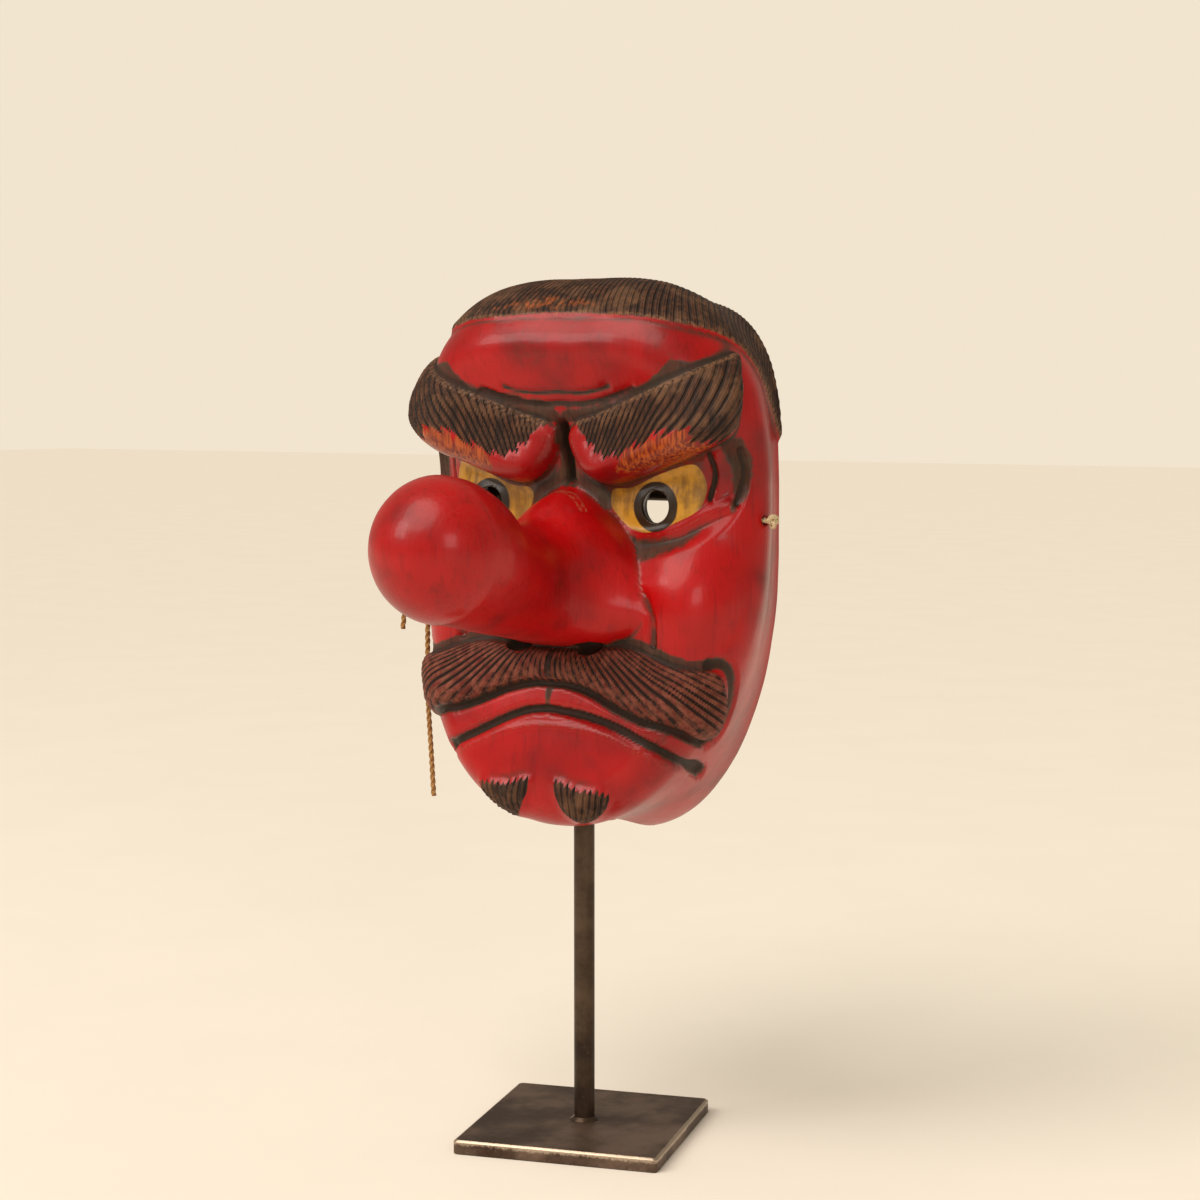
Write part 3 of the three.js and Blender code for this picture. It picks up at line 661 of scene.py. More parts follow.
        h = self.broad(q, z)
        above = z > self.hair_from
        h += np.where(above, self.raised * step(s["hair"] - 0.4 * hand, 1.0), 0)
        broken = 0.65 + 0.35 * wobble(q * 3, z, 14, 6.0)
        h += self.hair_cut * lock(s["hair_count"]) * broken * step(s["hair"] - 1.5, 1.5) * above
        h += self.lock_cut * lock(s["brow_count"]) * step(s["brow"] - 0.3, 0.8)
        h += self.lock_cut * lock(s["tache_count"]) * step(s["tache"] - 0.8, 1.2)
        h += self.tuft_cut * lock(s["tuft_count"]) * step(s["tuft"] - 0.2, 0.8)
        ridge = away(d.brow_ridge)
        h += 0.7 * bump(ridge, 1.6)
        right = p[..., 0] >= 0
        mouth = np.where(right, away(d.mouth), away(d.mouth_left))
        along = np.where(right, path_share(q, z, d.mouth), path_share(q, z, d.mouth_left))
        lip = np.where(right, away(d.lip), away(d.lip_left))
        spoon = mix(2.0, 3.6, ease((along - 0.84) / 0.1))
        h += groove(mouth, spoon, self.mouth_cut)
        h += 0.45 * bump(lip, 1.3)
        cuts = ((d.under_moustache, 1.5, 2.2), (d.frowns[0], 1.5, 1.0), (d.frowns[1], 1.8, 1.2),
                (d.corner_lines[0], 1.9, 1.7), (d.corner_lines[1], 1.9, 1.7),
                (d.moustache_gouge, 3.2, 1.9), (d.wing_groove, 2.2, 2.4))
        for line, width, depth in cuts:
            h += groove(away(line), width, depth)
        cleft = np.abs(p[..., 0]) + 200 * (np.abs(z - 150.5) > 12)
        h += groove(cleft, 2.6, 5.5) * ease((163 - z) / 6)
        eye = within(d.eye)
        h += 0.35 * step(eye, 0.8)
        h += 0.16 * hand + 0.1 * wobble(p[..., 0], z, 6, 5.0)
        carved = p + n * h[..., None]

        # Thin light tan marks along the brow ridge, the lower lip, the hair's edge and the lower lid:
        # painted highlights.
        hair_edge = np.abs(s["hair"] - 0.3) + 20 * (z < self.hair_from) + 0.1
        highlight_lines = [ridge - 0.3 * hand, lip + 0.35, hair_edge, away(d.lower_lid) + 0.5]
        over = above_line(q, z, d.brow_ridge)
        band = 3 + 4.5 * bump(p[..., 0] + 8, 26) + 4 * bump(q - 50, 13)
        band = (band + 1.5 * wobble(p[..., 0] * 1.5, z, 7, 7.0)) * ease((89 - q) / 8)
        over_ridge = np.where((over > 0) & (z < 195), band - over, -np.abs(over))
        lip_dip = np.maximum(np.abs(p[..., 0] + 0.3) + 0.12 * (62 - z), np.abs(z - 60.5) - 2.6)
        # Dark zones in the grooves, creases, clefts, hollows and above the brow ridge: partly dirt,
        # partly painted shade.
        shades = [over_ridge, 0.5 * within(d.corner_shade), 0.4 * within(d.root_shade),
                  0.7 - away(d.frowns[0]), 0.8 - away(d.frowns[1]),
                  2.0 - away(d.moustache_gouge), spoon - 0.3 - mouth,
                  2.0 - away(d.under_moustache), 1.6 - away(d.corner_lines[0]),
                  np.where(z > 130, 3.4 - np.abs(p[..., 0]) - np.maximum(0, z - 160), -9),
                  2.4 - away(d.moustache_top), 1.7 - lip_dip]
        hair_like = np.maximum.reduce([np.where(above, s["hair"], -50), s["brow"], s["tuft"]])
        counts = s["hair_count"]
        for growth in ("tuft", "brow", "tache"):
            counts = np.where(s[growth] > -2, s[growth + "_count"], counts)
        worn_hair = 3.2 - np.abs(s["hair"] - 3.0) - 0.1 * np.abs(p[..., 0] + 5)
        worn = np.maximum(within(d.brow_worn), np.where(above, worn_hair, -9))
        traits = {
            Trait.HAIR: hair_like, Trait.TACHE: s["tache"], Trait.GRIME: np.maximum.reduce(shades),
            Trait.GOLD: eye, Trait.WOOD: worn, Trait.LINE: np.minimum.reduce(highlight_lines),
            Trait.STRAND: counts, Trait.HOLLOW: np.zeros_like(q),
        }
        return carved, traits


def blank_traits(count: int, look: dict[Trait, float] | None = None) -> dict[Trait, Array]:
    """Traits of plain paint at some points, but for those of the given look."""
    plain = {t: -FAR for t in Trait if t not in (Trait.RING, Trait.CAVITY)}
    plain |= {Trait.LINE: FAR, Trait.STRAND: 0.0, Trait.HOLLOW: 0.0, **(look or {})}
    return {t: np.full(count, value) for t, value in plain.items()}


@dataclass(frozen=True)
class Nose:
    """The long nose: rings round a middle line from the wall to the tip of its bulb."""

    stations: tuple[Five, ...] = (
        (-6, 137, 74, 35, 0.45), (-12, 136, 75, 34, 0.45), (-18, 134.5, 76.5, 32, 0.4),
        (-26.5, 130, 78.5, 27, 0.3), (-33, 126, 79.7, 23, 0.22), (-40, 124.4, 81, 20.3, 0.16),
        (-48, 124.5, 82.3, 19.2, 0.1), (-56, 126.3, 83.8, 19.6, 0.05), (-66, 131.5, 85.5, 21.6, 0.03),
        (-76, 138, 87.6, 24, 0), (-86, 142.3, 89.8, 25.3, 0), (-94.5, 143.7, 91.3, 25.5, 0))
    bulb: Five = (-94.5, 117.5, 25.5, 24.5, 26.2)
    wing: Five = (7.0, -17.0, 90.0, 9.0, 11.0)
    sides: int = 96
    ring_gap: float = 1.5
    bulb_rings: int = 22

    def rings(self) -> Array:
        """Rings as rows of depth, middle height, half height, half width and flare."""
        table = np.array(self.stations, float)
        depth = -table[:, 0]
        count = int((depth[-1] - depth[0]) / self.ring_gap)
        at = np.linspace(depth[0], depth[-1], count, endpoint=False)
        slopes = np.gradient(table[:, 1:], depth, axis=0)
        k = np.clip(np.searchsorted(depth, at, "right") - 1, 0, len(depth) - 2)
        gap = (depth[k + 1] - depth[k])[:, None]
        t = (at - depth[k])[:, None] / gap
        a, b = table[k, 1:], table[k + 1, 1:]
        curve = (2 * t**3 - 3 * t**2 + 1) * a + (t**3 - 2 * t**2 + t) * gap * slopes[k]
        curve += (-2 * t**3 + 3 * t**2) * b + (t**3 - t**2) * gap * slopes[k + 1]
        top, low, half, flare = curve.T
        body = np.stack([-at, (top + low) / 2, (top - low) / 2, half, flare], -1)
        turn = np.arange(self.bulb_rings) / self.bulb_rings * math.pi / 2
        y, z, across, along, high = self.bulb
        end = np.stack([y - along * np.sin(turn), np.full_like(turn, z), high * np.cos(turn),
                        across * np.cos(turn), 0 * turn], -1)
        return np.concatenate([body, end])

    def mesh(self, block: Block) -> tuple[Array, Faces, dict[Trait, Array]]:
        """Builds the closed nose.

        Args:
            block: the mask's block, for the depth at which the nose starts.
        Returns:
            Points, faces and traits.
        """
        rings = self.rings()
        angle = np.arange(self.sides) / self.sides * FULL_TURN
        y, middle, high, half, flare = (rings[:, k][:, None] for k in range(5))
        up, out = np.cos(angle)[None], np.sin(angle)[None]
        square = np.where(up < 0, mix(1.0, 0.74, ease((y + 62) / 40)), 1.0)
        z = middle + high * np.sign(up) * np.abs(up) ** square
        x = half * np.sign(out) * np.abs(out) ** square * (1 - flare * up)
        width, wing_y, wing_z, deep, tall = self.wing
        wing = np.exp(-(((y - wing_y) / deep) ** 2) - ((z - wing_z) / tall) ** 2)
        x = x + np.sign(x) * width * wing * np.abs(out)
        depth = np.broadcast_to(y, x.shape).copy()
        depth[0] = block.front(z[0]) + 4
        dent = 0.14 * wobble(x + depth, z, 9, 2.2) * ease((-depth - 10) / 10)
        points = np.stack([x * (1 + dent / 40), depth, z + dent], -1).reshape(-1, 3)
        n, r = self.sides, len(rings)
        faces = [(i * n + k, (i + 1) * n + k, (i + 1) * n + (k + 1) % n, i * n + (k + 1) % n)
                 for i in range(r - 1) for k in range(n)]
        back, tip = len(points), len(points) + 1
        points = np.concatenate([points, [[0, block.front(np.array(105.0)) + 4, 105],
                                          [0, self.bulb[0] - self.bulb[3], self.bulb[1]]]])
        faces += [(back, k, (k + 1) % n) for k in range(n)]
        faces += [(tip, (r - 1) * n + (k + 1) % n, (r - 1) * n + k) for k in range(n)]
        # Two light arcs across the top of the nose near its root: painted highlights.
        arc = points[:, 1] + 17.0 + 0.03 * points[:, 0] ** 2
        bridge = np.minimum(np.abs(arc), np.abs(arc - 2.6)) + 30 * (points[:, 2] < 127)
        # Darker underside of the nose next to the face: painted shade.
        low = (points[:, 1] > -24) & (points[:, 2] < 82)
        under = np.where(low, 1.5 - np.abs(points[:, 1] + 16) * 0.3, -9.0)
        return points, faces, {**blank_traits(len(points)), Trait.GRIME: under, Trait.LINE: bridge}


def linked(name: str, data: Any) -> bpy.types.Object:
    """Puts an object with the given data in the scene."""
    thing = bpy.data.objects.new(name, data)
    bpy.context.scene.collection.objects.link(thing)
    return thing


def settled(name: str, source: bpy.types.Object) -> bpy.types.Object:
    """A plain mesh object of what an object's modifiers make of it."""
    bpy.context.view_layer.update()
    graph = bpy.context.evaluated_depsgraph_get()
    mesh = bpy.data.meshes.new_from_object(source.evaluated_get(graph))
    mesh.name = name
    return linked(name, mesh)


def mesh_object(name: str, points: Array, faces: Sequence[Sequence[int]]) -> bpy.types.Object:
    """Links a new mesh object.

    Args:
        name: the object's name.
        points: corners in metres.
        faces: corner numbers of each face, outwards.
    Returns:
        The object.
    """
    mesh = bpy.data.meshes.new(name)
    corners = np.asarray(points, float).tolist()
    mesh.from_pydata(corners, [], [tuple(int(i) for i in f) for f in faces])
    mesh.update()
    return linked(name, mesh)


def set_trait(mesh: bpy.types.Mesh, name: str, values: Array) -> None:
    """Keeps one number per corner on a mesh."""
    layer = mesh.attributes.new(name, "FLOAT", "POINT")
    layer.data.foreach_set("value", np.ascontiguousarray(values, np.float32))


def corners_of(mesh: bpy.types.Mesh) -> Array:
    """A mesh's corners, one row each."""
    flat = np.empty(3 * len(mesh.vertices), np.float32)
    mesh.vertices.foreach_get("co", flat)
    return flat.reshape(-1, 3).astype(float)


def nearest_of(known: Array, points: Array) -> tuple[Array, Array]:
    """Index of the known point nearest to each point, and how far it is."""
    tree = KDTree(len(known))
    for k, point in enumerate(known):
        tree.insert(point, k)
    tree.balance()
    found = [tree.find(p) for p in points]
    return np.array([f[1] for f in found]), np.array([f[2] for f in found])


def move_corners(mesh: bpy.types.Mesh, points: Array) -> None:
    """Moves a mesh's corners to new points."""
    mesh.vertices.foreach_set("co", points.astype(np.float32).ravel())
    mesh.update()


def edges_of(mesh: bpy.types.Mesh) -> Array:
    """A mesh's edges as pairs of corner numbers."""
    flat = np.empty(2 * len(mesh.edges), np.int32)
    mesh.edges.foreach_get("vertices", flat)
    return flat.reshape(-1, 2)


def relaxed(points: Array, edges: Array, rounds: int, weight: Array | float = 1.0) -> Array:
    """Points drawn towards the mean of their neighbours.

    Args:
        points: corners.
        edges: pairs of corner numbers.
        rounds: how many times.
        weight: how far each corner goes, 0 to 1.
    Returns:
        The moved corners.
    """
    count = np.bincount(edges.ravel(), minlength=len(points)).astype(float)[:, None]
    share = 0.6 * (weight[:, None] if isinstance(weight, np.ndarray) else weight)
    for _ in range(rounds):
        total = np.zeros_like(points)
        for axis in range(3):
            total[:, axis] = np.bincount(edges[:, 0], points[edges[:, 1], axis], len(points))
            total[:, axis] += np.bincount(edges[:, 1], points[edges[:, 0], axis], len(points))
        points = points + share * (total / np.maximum(count, 1) - points)
    return points


def joined(name: str, base: bpy.types.Object,
           parts: Sequence[tuple[bpy.types.Object, str]]) -> bpy.types.Object:
    """Joins closed meshes to a base or cuts them from it.

    Args:
        name: the new object's name.
        base: the closed mesh to work on.
        parts: each other mesh with UNION or DIFFERENCE.
    Returns:
        The resulting plain mesh object.
    """
    for part, operation in parts:
        modifier = base.modifiers.new(part.name, "BOOLEAN")
        modifier.operation = operation
        modifier.solver = "MANIFOLD"
        modifier.object = part
    thing = settled(name, base)
    for old in [base, *(part for part, _ in parts)]:
        bpy.data.objects.remove(old)
    return thing


def tube_faces(sides: int, rows: int) -> Faces:
    """Faces of rings of corners one after another, closed at both ends."""
    faces: Faces = [(i * sides + k, i * sides + (k + 1) % sides, (i + 1) * sides + (k + 1) % sides,
                     (i + 1) * sides + k) for i in range(rows - 1) for k in range(sides)]
    last = (rows - 1) * sides
    return faces + [tuple(range(sides - 1, -1, -1)), tuple(range(last, last + sides))]


def swept(route: Array, radii: Array, sides: int, up: Triple = (1, 0, 0)) -> tuple[Array, Faces]:
    """A closed round tube along a route.

    Args:
        route: middle points.
        radii: radius at each.
        sides: corners round the tube.
        up: a direction that the route never follows.
    Returns:
        Points and faces.
    """
    along = np.gradient(route, axis=0)
    along /= np.linalg.norm(along, axis=1, keepdims=True)
    side = np.cross(along, np.array(up, float))
    side /= np.linalg.norm(side, axis=1, keepdims=True)
    other = np.cross(along, side)
    angle = np.arange(sides) / sides * FULL_TURN
    across, up = np.cos(angle)[None, :, None], np.sin(angle)[None, :, None]
    ring = across * side[:, None] + up * other[:, None]
    points = (route[:, None] + ring * radii[:, None, None]).reshape(-1, 3)
    return points, tube_faces(sides, len(route))


def rod(start: Triple, end: Triple, radius: float, sides: int = 48,
        soft: float = 0.4) -> tuple[Array, Faces]:
    """A straight round bar with softened ends, from start to end."""
    a, b = np.array(start, float), np.array(end, float)
    length = np.linalg.norm(b - a)
    shares = np.array([0, soft / length, 0.5, 1 - soft / length, 1])
    radii = np.array([radius - soft, radius, radius, radius, radius - soft])
    up = (0, 0, 1) if abs(b[2] - a[2]) < 0.5 * length else (1, 0, 0)
    return swept(a + (b - a) * shares[:, None], radii, sides, up)


def ellipsoid(centre: Triple, size: Triple, sides: int = 32) -> tuple[Array, Faces]:
    """A closed ellipsoid."""
    turn = np.linspace(-math.pi / 2, math.pi / 2, sides // 2 + 1)
    turn[0] += 0.02
    turn[-1] -= 0.02
    route = np.stack([0 * turn, 0 * turn, np.sin(turn)], -1)
    points, faces = swept(route, np.cos(turn), sides)
    return points * np.array(size, float) + np.array(centre, float), faces


@dataclass
class Mask:
    """The carved mask: shell, nose and every hole, with the traits that its finish reads."""

    carving: Carving = field(default_factory=Carving)
    nose: Nose = field(default_factory=Nose)
    columns: int = 330
    rows: int = 230
    inner_share: int = 5
    eye_hole: float = 12.0
    eye_flare: float = 9.0
    cord_hole: float = 4.4
    hole_at: tuple[float, float] = (10.5, 125.0)
    nostril: Triple = (15.5, -22.0, 79.0)
    nostril_size: Triple = (6.0, 5.0, 4.6)
    hollow_at: Triple = (0.0, -6.0, 103.0)
    hollow_size: Triple = (15.0, 22.0, 24.0)
    notch: float = 10.0
    gouge: Triple = (0.9, 3.6, 9.5)
    nose_root: Five = (48.0, 66.0, 146.0, -45.0, -7.0)
    root_soft: float = 4.5
    root_rounds: int = 22
    cavity_rounds: int = 14

    def disc(self, columns: int, rows: int) -> tuple[Array, Array]:
        """Places on the disc for a square grid, closer together over the face than at the rim."""
        a = np.linspace(-1, 1, columns + 1)[None, :]
        t = np.linspace(-1, 1, rows + 1)[:, None]
        b = 0.68 * t + 0.32 * t**5
        return a * np.sqrt(1 - b * b / 2), b * np.sqrt(1 - a * a / 2)

    def ring(self, columns: int, rows: int) -> Array:
        """Corner numbers round a grid's edge, in order."""
        across = columns + 1
        low = np.arange(columns)
        right = np.arange(rows) * across + columns
        top = rows * across + np.arange(columns, 0, -1)
        left = np.arange(rows, 0, -1) * across
        return np.concatenate([low, right, top, left])

    def quads(self, columns: int, rows: int, first: int, outward: bool) -> Array:
        """Faces of a grid."""
        i, j = np.meshgrid(np.arange(columns), np.arange(rows))
        a = first + j * (columns + 1) + i
        faces = np.stack([a, a + 1, a + columns + 2, a + columns + 1], -1).reshape(-1, 4)
        return faces if outward else faces[:, ::-1]

    def shell(self) -> tuple[Array, Faces, dict[Trait, Array]]:
        """Builds the hollow block with its carving.

        Returns:
            Points in drawn millimetres, faces and traits.
        """
        block, share = self.carving.block, self.inner_share
        u, v = self.disc(self.columns, self.rows)
        u, v = np.broadcast_arrays(u, v)
        outer, traits = self.carving.dress(u, v)
        inner_columns, inner_rows = self.columns // share, self.rows // share
        iu, iv = np.broadcast_arrays(*self.disc(inner_columns, inner_rows))
        inner = block.point(iu, iv)
        deep, across, up = self.gouge
        scallop = deep * np.abs(np.sin(inner[..., 0] / across + 0.8 * np.sin(inner[..., 2] / 11)))
        scallop *= np.abs(np.sin(inner[..., 2] / up + inner[..., 0] / 23))
        scallop *= ease((0.97 - np.hypot(iu, iv)) / 0.1)
        inner = inner - block.normal(iu, iv) * (block.wall - scallop)[..., None]
        edge_out = self.ring(self.columns, self.rows)
        outer = outer.reshape(-1, 3)
        inner = inner.reshape(-1, 3)
        edge_in = self.ring(inner_columns, inner_rows)
        outer[edge_out, 1] = block.rim
        inner[edge_in, 1] = block.rim
        first = len(outer)
        faces = [tuple(f) for f in self.quads(self.columns, self.rows, 0, True)]
        faces += [tuple(f) for f in self.quads(inner_columns, inner_rows, first, False)]
        edge_in = edge_in + first
        for k in range(len(edge_in)):
            a, b = edge_in[k], edge_in[(k + 1) % len(edge_in)]
            o = [edge_out[(share * k + m) % len(edge_out)] for m in range(share + 1)]
            half = share // 2 + 1
            faces += [(o[m], a, o[m + 1]) for m in range(half)] + [(o[half], a, b)]
            faces += [(o[m], b, o[m + 1]) for m in range(half, share)]
        points = np.concatenate([outer, inner])
        bare = blank_traits(len(inner), {Trait.HOLLOW: 1.0})
        return points, faces, {
            name: np.concatenate([values.ravel(), bare[name]]) for name, values in traits.items()}

    def cutters(self) -> list[tuple[str, Array, Faces, dict[Trait, float]]]:
        """Every hole's cutter with the look of its wall."""
        eye_x, eye_z = self.carving.draw.eye_centre
        dark = {Trait.GOLD: 3.0}
        bare = {Trait.HOLLOW: 1.0}
        # Nostril walls take the dark colour of the recesses: dirt and painted shade.
        grime = {Trait.GRIME: 4.0}
        made = []
        for side, word in ((-1, "left"), (1, "right")):
            line = np.array([(side * eye_x, y, eye_z) for y in (-45.0, -12.0, -8.0, 20.0)])
            wide = np.array([0.0, 0.0, 0.0, self.eye_flare]) + self.eye_hole / 2
            made.append((f"eye_{word}", *swept(line, wide, 48), dark))
            y, z = self.hole_at
            hole = rod((side * 45, y, z), (side * 85, y, z), self.cord_hole / 2, 24)
            made.append((f"cord_hole_{word}", *hole, bare))
            centre = (side * self.nostril[0], *self.nostril[1:])
            made.append((f"nostril_{word}", *ellipsoid(centre, self.nostril_size), grime))
        made.append(("nose_hollow", *ellipsoid(self.hollow_at, self.hollow_size, 40), bare))
        turn = np.linspace(math.pi, FULL_TURN, 21)
        plan = [(self.notch * math.cos(a), self.notch * math.sin(a)) for a in turn]
        plan += [(self.notch, 50.0), (-self.notch, 50.0)]
        points = np.array([(x, y, z) for z in (-25.0, 25.0) for x, y in plan])
        made.append(("post_notch", points, tube_faces(len(plan), 2), bare))
        return made

    def build(self) -> bpy.types.Object:
        """Makes the mask's mesh and its traits.

        Returns:
            The mask object, in metres.
        """
        shell_points, shell_faces, shell_traits = self.shell()
        nose_points, nose_faces, nose_traits = self.nose.mesh(self.carving.block)
        sources = [(shell_points, shell_traits), (nose_points, nose_traits)]
        base = mesh_object("shell", shell_points, shell_faces)
        parts = [(mesh_object("nose", nose_points, nose_faces), "UNION")]
        for name, points, faces, look in self.cutters():
            sources.append((points, blank_traits(len(points), look)))
            parts.append((mesh_object(name, points, faces), "DIFFERENCE"))
        mask = joined("mask_carved", base, parts)
        mesh = mask.data
        self.blend_nose(mesh, shell_points, nose_points)
        self.give_traits(mesh, sources)
        flat = corners_of(mesh) * MM
        flat[:, 2] += MASK_BOTTOM * MM
        move_corners(mesh, flat)
        mesh.shade_smooth()
        return mask

    def blend_nose(self, mesh: bpy.types.Mesh, shell: Array, nose: Array) -> None:
        """Softens the inside corner where the nose grows out of the face.

        Args:
            mesh: the joined mesh, in drawn millimetres.
            shell: the shell's corners.
            nose: the nose's corners.
        """
        points = corners_of(mesh)
        x, y, z = points.T
        half_wide, low, high, front, back = self.nose_root
        near = np.flatnonzero(
            (np.abs(x) < half_wide) & (z > low) & (z < high) & (y < back) & (y > front))
        away = []
        for source in (shell, nose):
            keep = source[(np.abs(source[:, 0]) < half_wide + 12) & (source[:, 1] < 0)]
            away.append(nearest_of(keep, points[near])[1])
        weight = np.zeros(len(points))
        root = ease((z[near] - 84) / 16)
        weight[near] = ease(1 - np.maximum(*away) / self.root_soft) * mix(0.35, 1.0, root)
        move_corners(mesh, relaxed(points, edges_of(mesh), self.root_rounds, weight))

    def give_traits(self, mesh: bpy.types.Mesh,
                    sources: Sequence[tuple[Array, dict[Trait, Array]]]) -> None:
        """Copies traits from the nearest drawn point, and measures how far each point stands out.

        Args:
            mesh: the joined mesh, in drawn millimetres.
            sources: the drawn points with their traits.
        """
        points = corners_of(mesh)
        nearest, _ = nearest_of(np.concatenate([p for p, _ in sources]), points)
        (shell, shell_traits), (nose, _) = sources[:2]
        near_shell, _ = nearest_of(shell, points)
        on_nose = (nearest >= len(shell)) & (nearest < len(shell) + len(nose))
        buried = on_nose & (shell_traits[Trait.HOLLOW][near_shell] > 0.5)
        nearest = np.where(buried, near_shell, nearest)
        for name in shell_traits:
            values = np.concatenate([t[name] for _, t in sources])[nearest]
            set_trait(mesh, name.value, values)
        eye_x, eye_z = self.carving.draw.eye_centre
        ring = np.hypot(np.abs(points[:, 0]) - eye_x, points[:, 2] - eye_z)
        set_trait(mesh, Trait.RING.value, ring + FAR * (points[:, 1] > 20))
        normals = np.empty(3 * len(points), np.float32)
        mesh.vertices.foreach_get("normal", normals)
        smooth = relaxed(points, edges_of(mesh), self.cavity_rounds)
        stand = ((points - smooth) * normals.reshape(-1, 3)).sum(1)
        set_trait(mesh, Trait.CAVITY.value, stand)


@dataclass(frozen=True)
class PaintedWood:
    """Glossy red paint with dark brown hair, gold eyes and dirt, worn to the wood on its edges, with
    painted shade in grooves and hollows and painted highlights on ridges and edges.
    """

    red: Triple = srgb(152, 2, 4)
    red_light: Triple = srgb(176, 4, 6)
    red_deep: Triple = srgb(92, 4, 5)
    brown: Triple = srgb(88, 52, 32)
    black: Triple = srgb(30, 21, 17)
    rust: Triple = srgb(98, 38, 26)
    wood: Triple = srgb(178, 88, 34)
    # Light tan of the painted highlights on ridges and edges, also on raised lock crests.
    tan: Triple = srgb(140, 100, 70)
    # Pale pink of the painted sheen on raised, rounded parts.
    pink_sheen: Triple = srgb(150, 84, 66)
    gold: Triple = srgb(198, 142, 42)
    gold_dirt: Triple = srgb(128, 90, 38)
    # Dark brown of dirt patches, and the base of the painted shade in grooves and hollows.
    grime: Triple = srgb(72, 42, 30)
    olive: Triple = srgb(66, 56, 42)
    bare: Triple = srgb(84, 56, 38)

    def build(self) -> bpy.types.Material:
        """Makes the finish.

        Returns:
            The material.
        """
        g = Finish("painted_wood")
        hair, tache, grime = g.trait(Trait.HAIR), g.trait(Trait.TACHE), g.trait(Trait.GRIME)
        gold, ring, worn = g.trait(Trait.GOLD), g.trait(Trait.RING), g.trait(Trait.WOOD)
        line, count, hollow = g.trait(Trait.LINE), g.trait(Trait.STRAND), g.trait(Trait.HOLLOW)
        cavity = g.trait(Trait.CAVITY)
        broad = g.noise(28, 2)
        patch = g.noise(95, 4, 0.6)
        fine = g.noise(900, 4, 0.65)
        ragged = g.noise(330, 3, 0.6)
        streak = g.noise(1.0, 4, 0.6, g.stretched((520, 520, 38)))
        grain = g.noise(1.0, 3, 0.5, g.stretched((900, 900, 60)))
        edge = (ragged - 0.5) * 2.4

        red = g.layers(
            self.red,
            (broad.between(0.35, 0.65), self.red_light),
            (patch.between(0.5, 0.85) * 0.4, self.red_deep),
            (streak.between(0.52, 0.75) * 0.35, self.red_deep),
            (broad.between(0.5, 0.3) * patch.between(0.2, 0.7) * 0.55, self.red_deep),
            (broad.between(0.42, 0.3) * ragged.between(0.4, 0.65) * 0.25, self.grime),
            # Darker in the hollows: painted shade.
            (cavity.between(-0.05, -0.5) * patch.between(0.15, 0.5) * 0.9, self.grime),
            # Pink speckles on raised parts: painted sheen.
            (cavity.between(0.3, 0.6) * fine.between(0.45, 0.65) * 0.15, self.pink_sheen),
            (fine.between(0.74, 0.8) * patch.between(0.55, 0.75) * 0.4, self.black))

        lock = (count.fraction() - 0.5).size() * 2
        sub = ((count * 3 * FULL_TURN).sine() + 1) * 0.5
        brown = g.layers(
            self.black,
            (streak.between(0.35, 0.7), self.brown),
            (sub * 0.35, self.brown),
            # Black in the grooves between the locks: painted shade.
            (lock.between(0.45, 0.85) * 0.85, self.black))
        # Tan on the raised crests of the locks: partly wear, partly painted highlight.
        crest_wear_and_sheen = cavity.between(0.06, 0.24) * patch.between(0.46, 0.62)
        brown = g.layers(
            brown,
            (crest_wear_and_sheen * 0.3, self.tan),
            # Black in the hollows of the hair: painted shade.
            (cavity.between(-0.05, -0.3) * 0.6, self.black))
        rubbed = (worn + edge).between(-0.5, 2.5) * streak.between(0.42, 0.66)
        brown = g.blend(rubbed * 0.7, brown, self.wood)
        rusty = g.layers(
            self.rust,
            (streak.between(0.4, 0.7), self.brown),
            # Black in the grooves between the moustache's locks: painted shade.
            (lock.between(0.35, 0.75) * 0.92, self.black),
            # Pink on the raised moustache locks: painted sheen.
            (cavity.between(0.05, 0.25) * ragged.between(0.35, 0.65) * 0.55, self.pink_sheen),
            (patch.between(0.55, 0.7) * (1 - lock) * 0.6, self.red_deep))
        # Colour of the dark zones: dirt with olive patches and black streaks, darker in the hollows
        # as painted shade, and a tan painted highlight on their raised edges.
        shade = g.layers(
            self.grime,
            (patch.between(0.35, 0.65), self.olive),
            (streak.between(0.45, 0.7) * 0.5, self.black),
            (cavity.between(-0.1, -0.5) * 0.6, self.black),
            (cavity.between(0.3, 0.6) * 0.15, self.tan))
        wood = g.blend(grain.between(0.35, 0.65), self.rust, self.wood)
        leaf = g.layers(
            self.gold,
            ((patch + streak * 0.5).between(0.66, 0.95) * 0.85, self.gold_dirt),
            (gold.between(2.4, 0.0) * patch.between(0.3, 0.6) * 0.8, self.gold_dirt))

        colour = g.layers(
            red,
            ((worn + (streak - 0.5) * 11).between(-0.6, 1.8) * 0.85, wood),
            # Dark zones in grooves, creases and under the nose: dirt and painted shade.
            ((grime + edge * 0.8).between(-0.5, 0.6) * 0.95, shade),
            ((hair + edge * 0.4).between(-0.25, 0.35), brown),
            ((tache + edge * 0.3).between(-0.3, 0.4), rusty),
            ((gold + edge * 0.12).between(-0.2, 0.2), leaf),
            ((ring + edge * 0.2).between(9.6, 9.0) * 0.97, self.black),
            # Thin tan marks on ridges and edges: painted highlights.
            ((line + edge * 0.3).between(0.85, 0.35) * fine.between(0.35, 0.6) * 0.6, self.tan))
        inside = g.blend(grain.between(0.3, 0.7), self.bare, self.black)
        bare = (hollow + (ragged - 0.5) * 0.5).between(0.3, 0.42)
        colour = g.blend(bare, colour, inside)

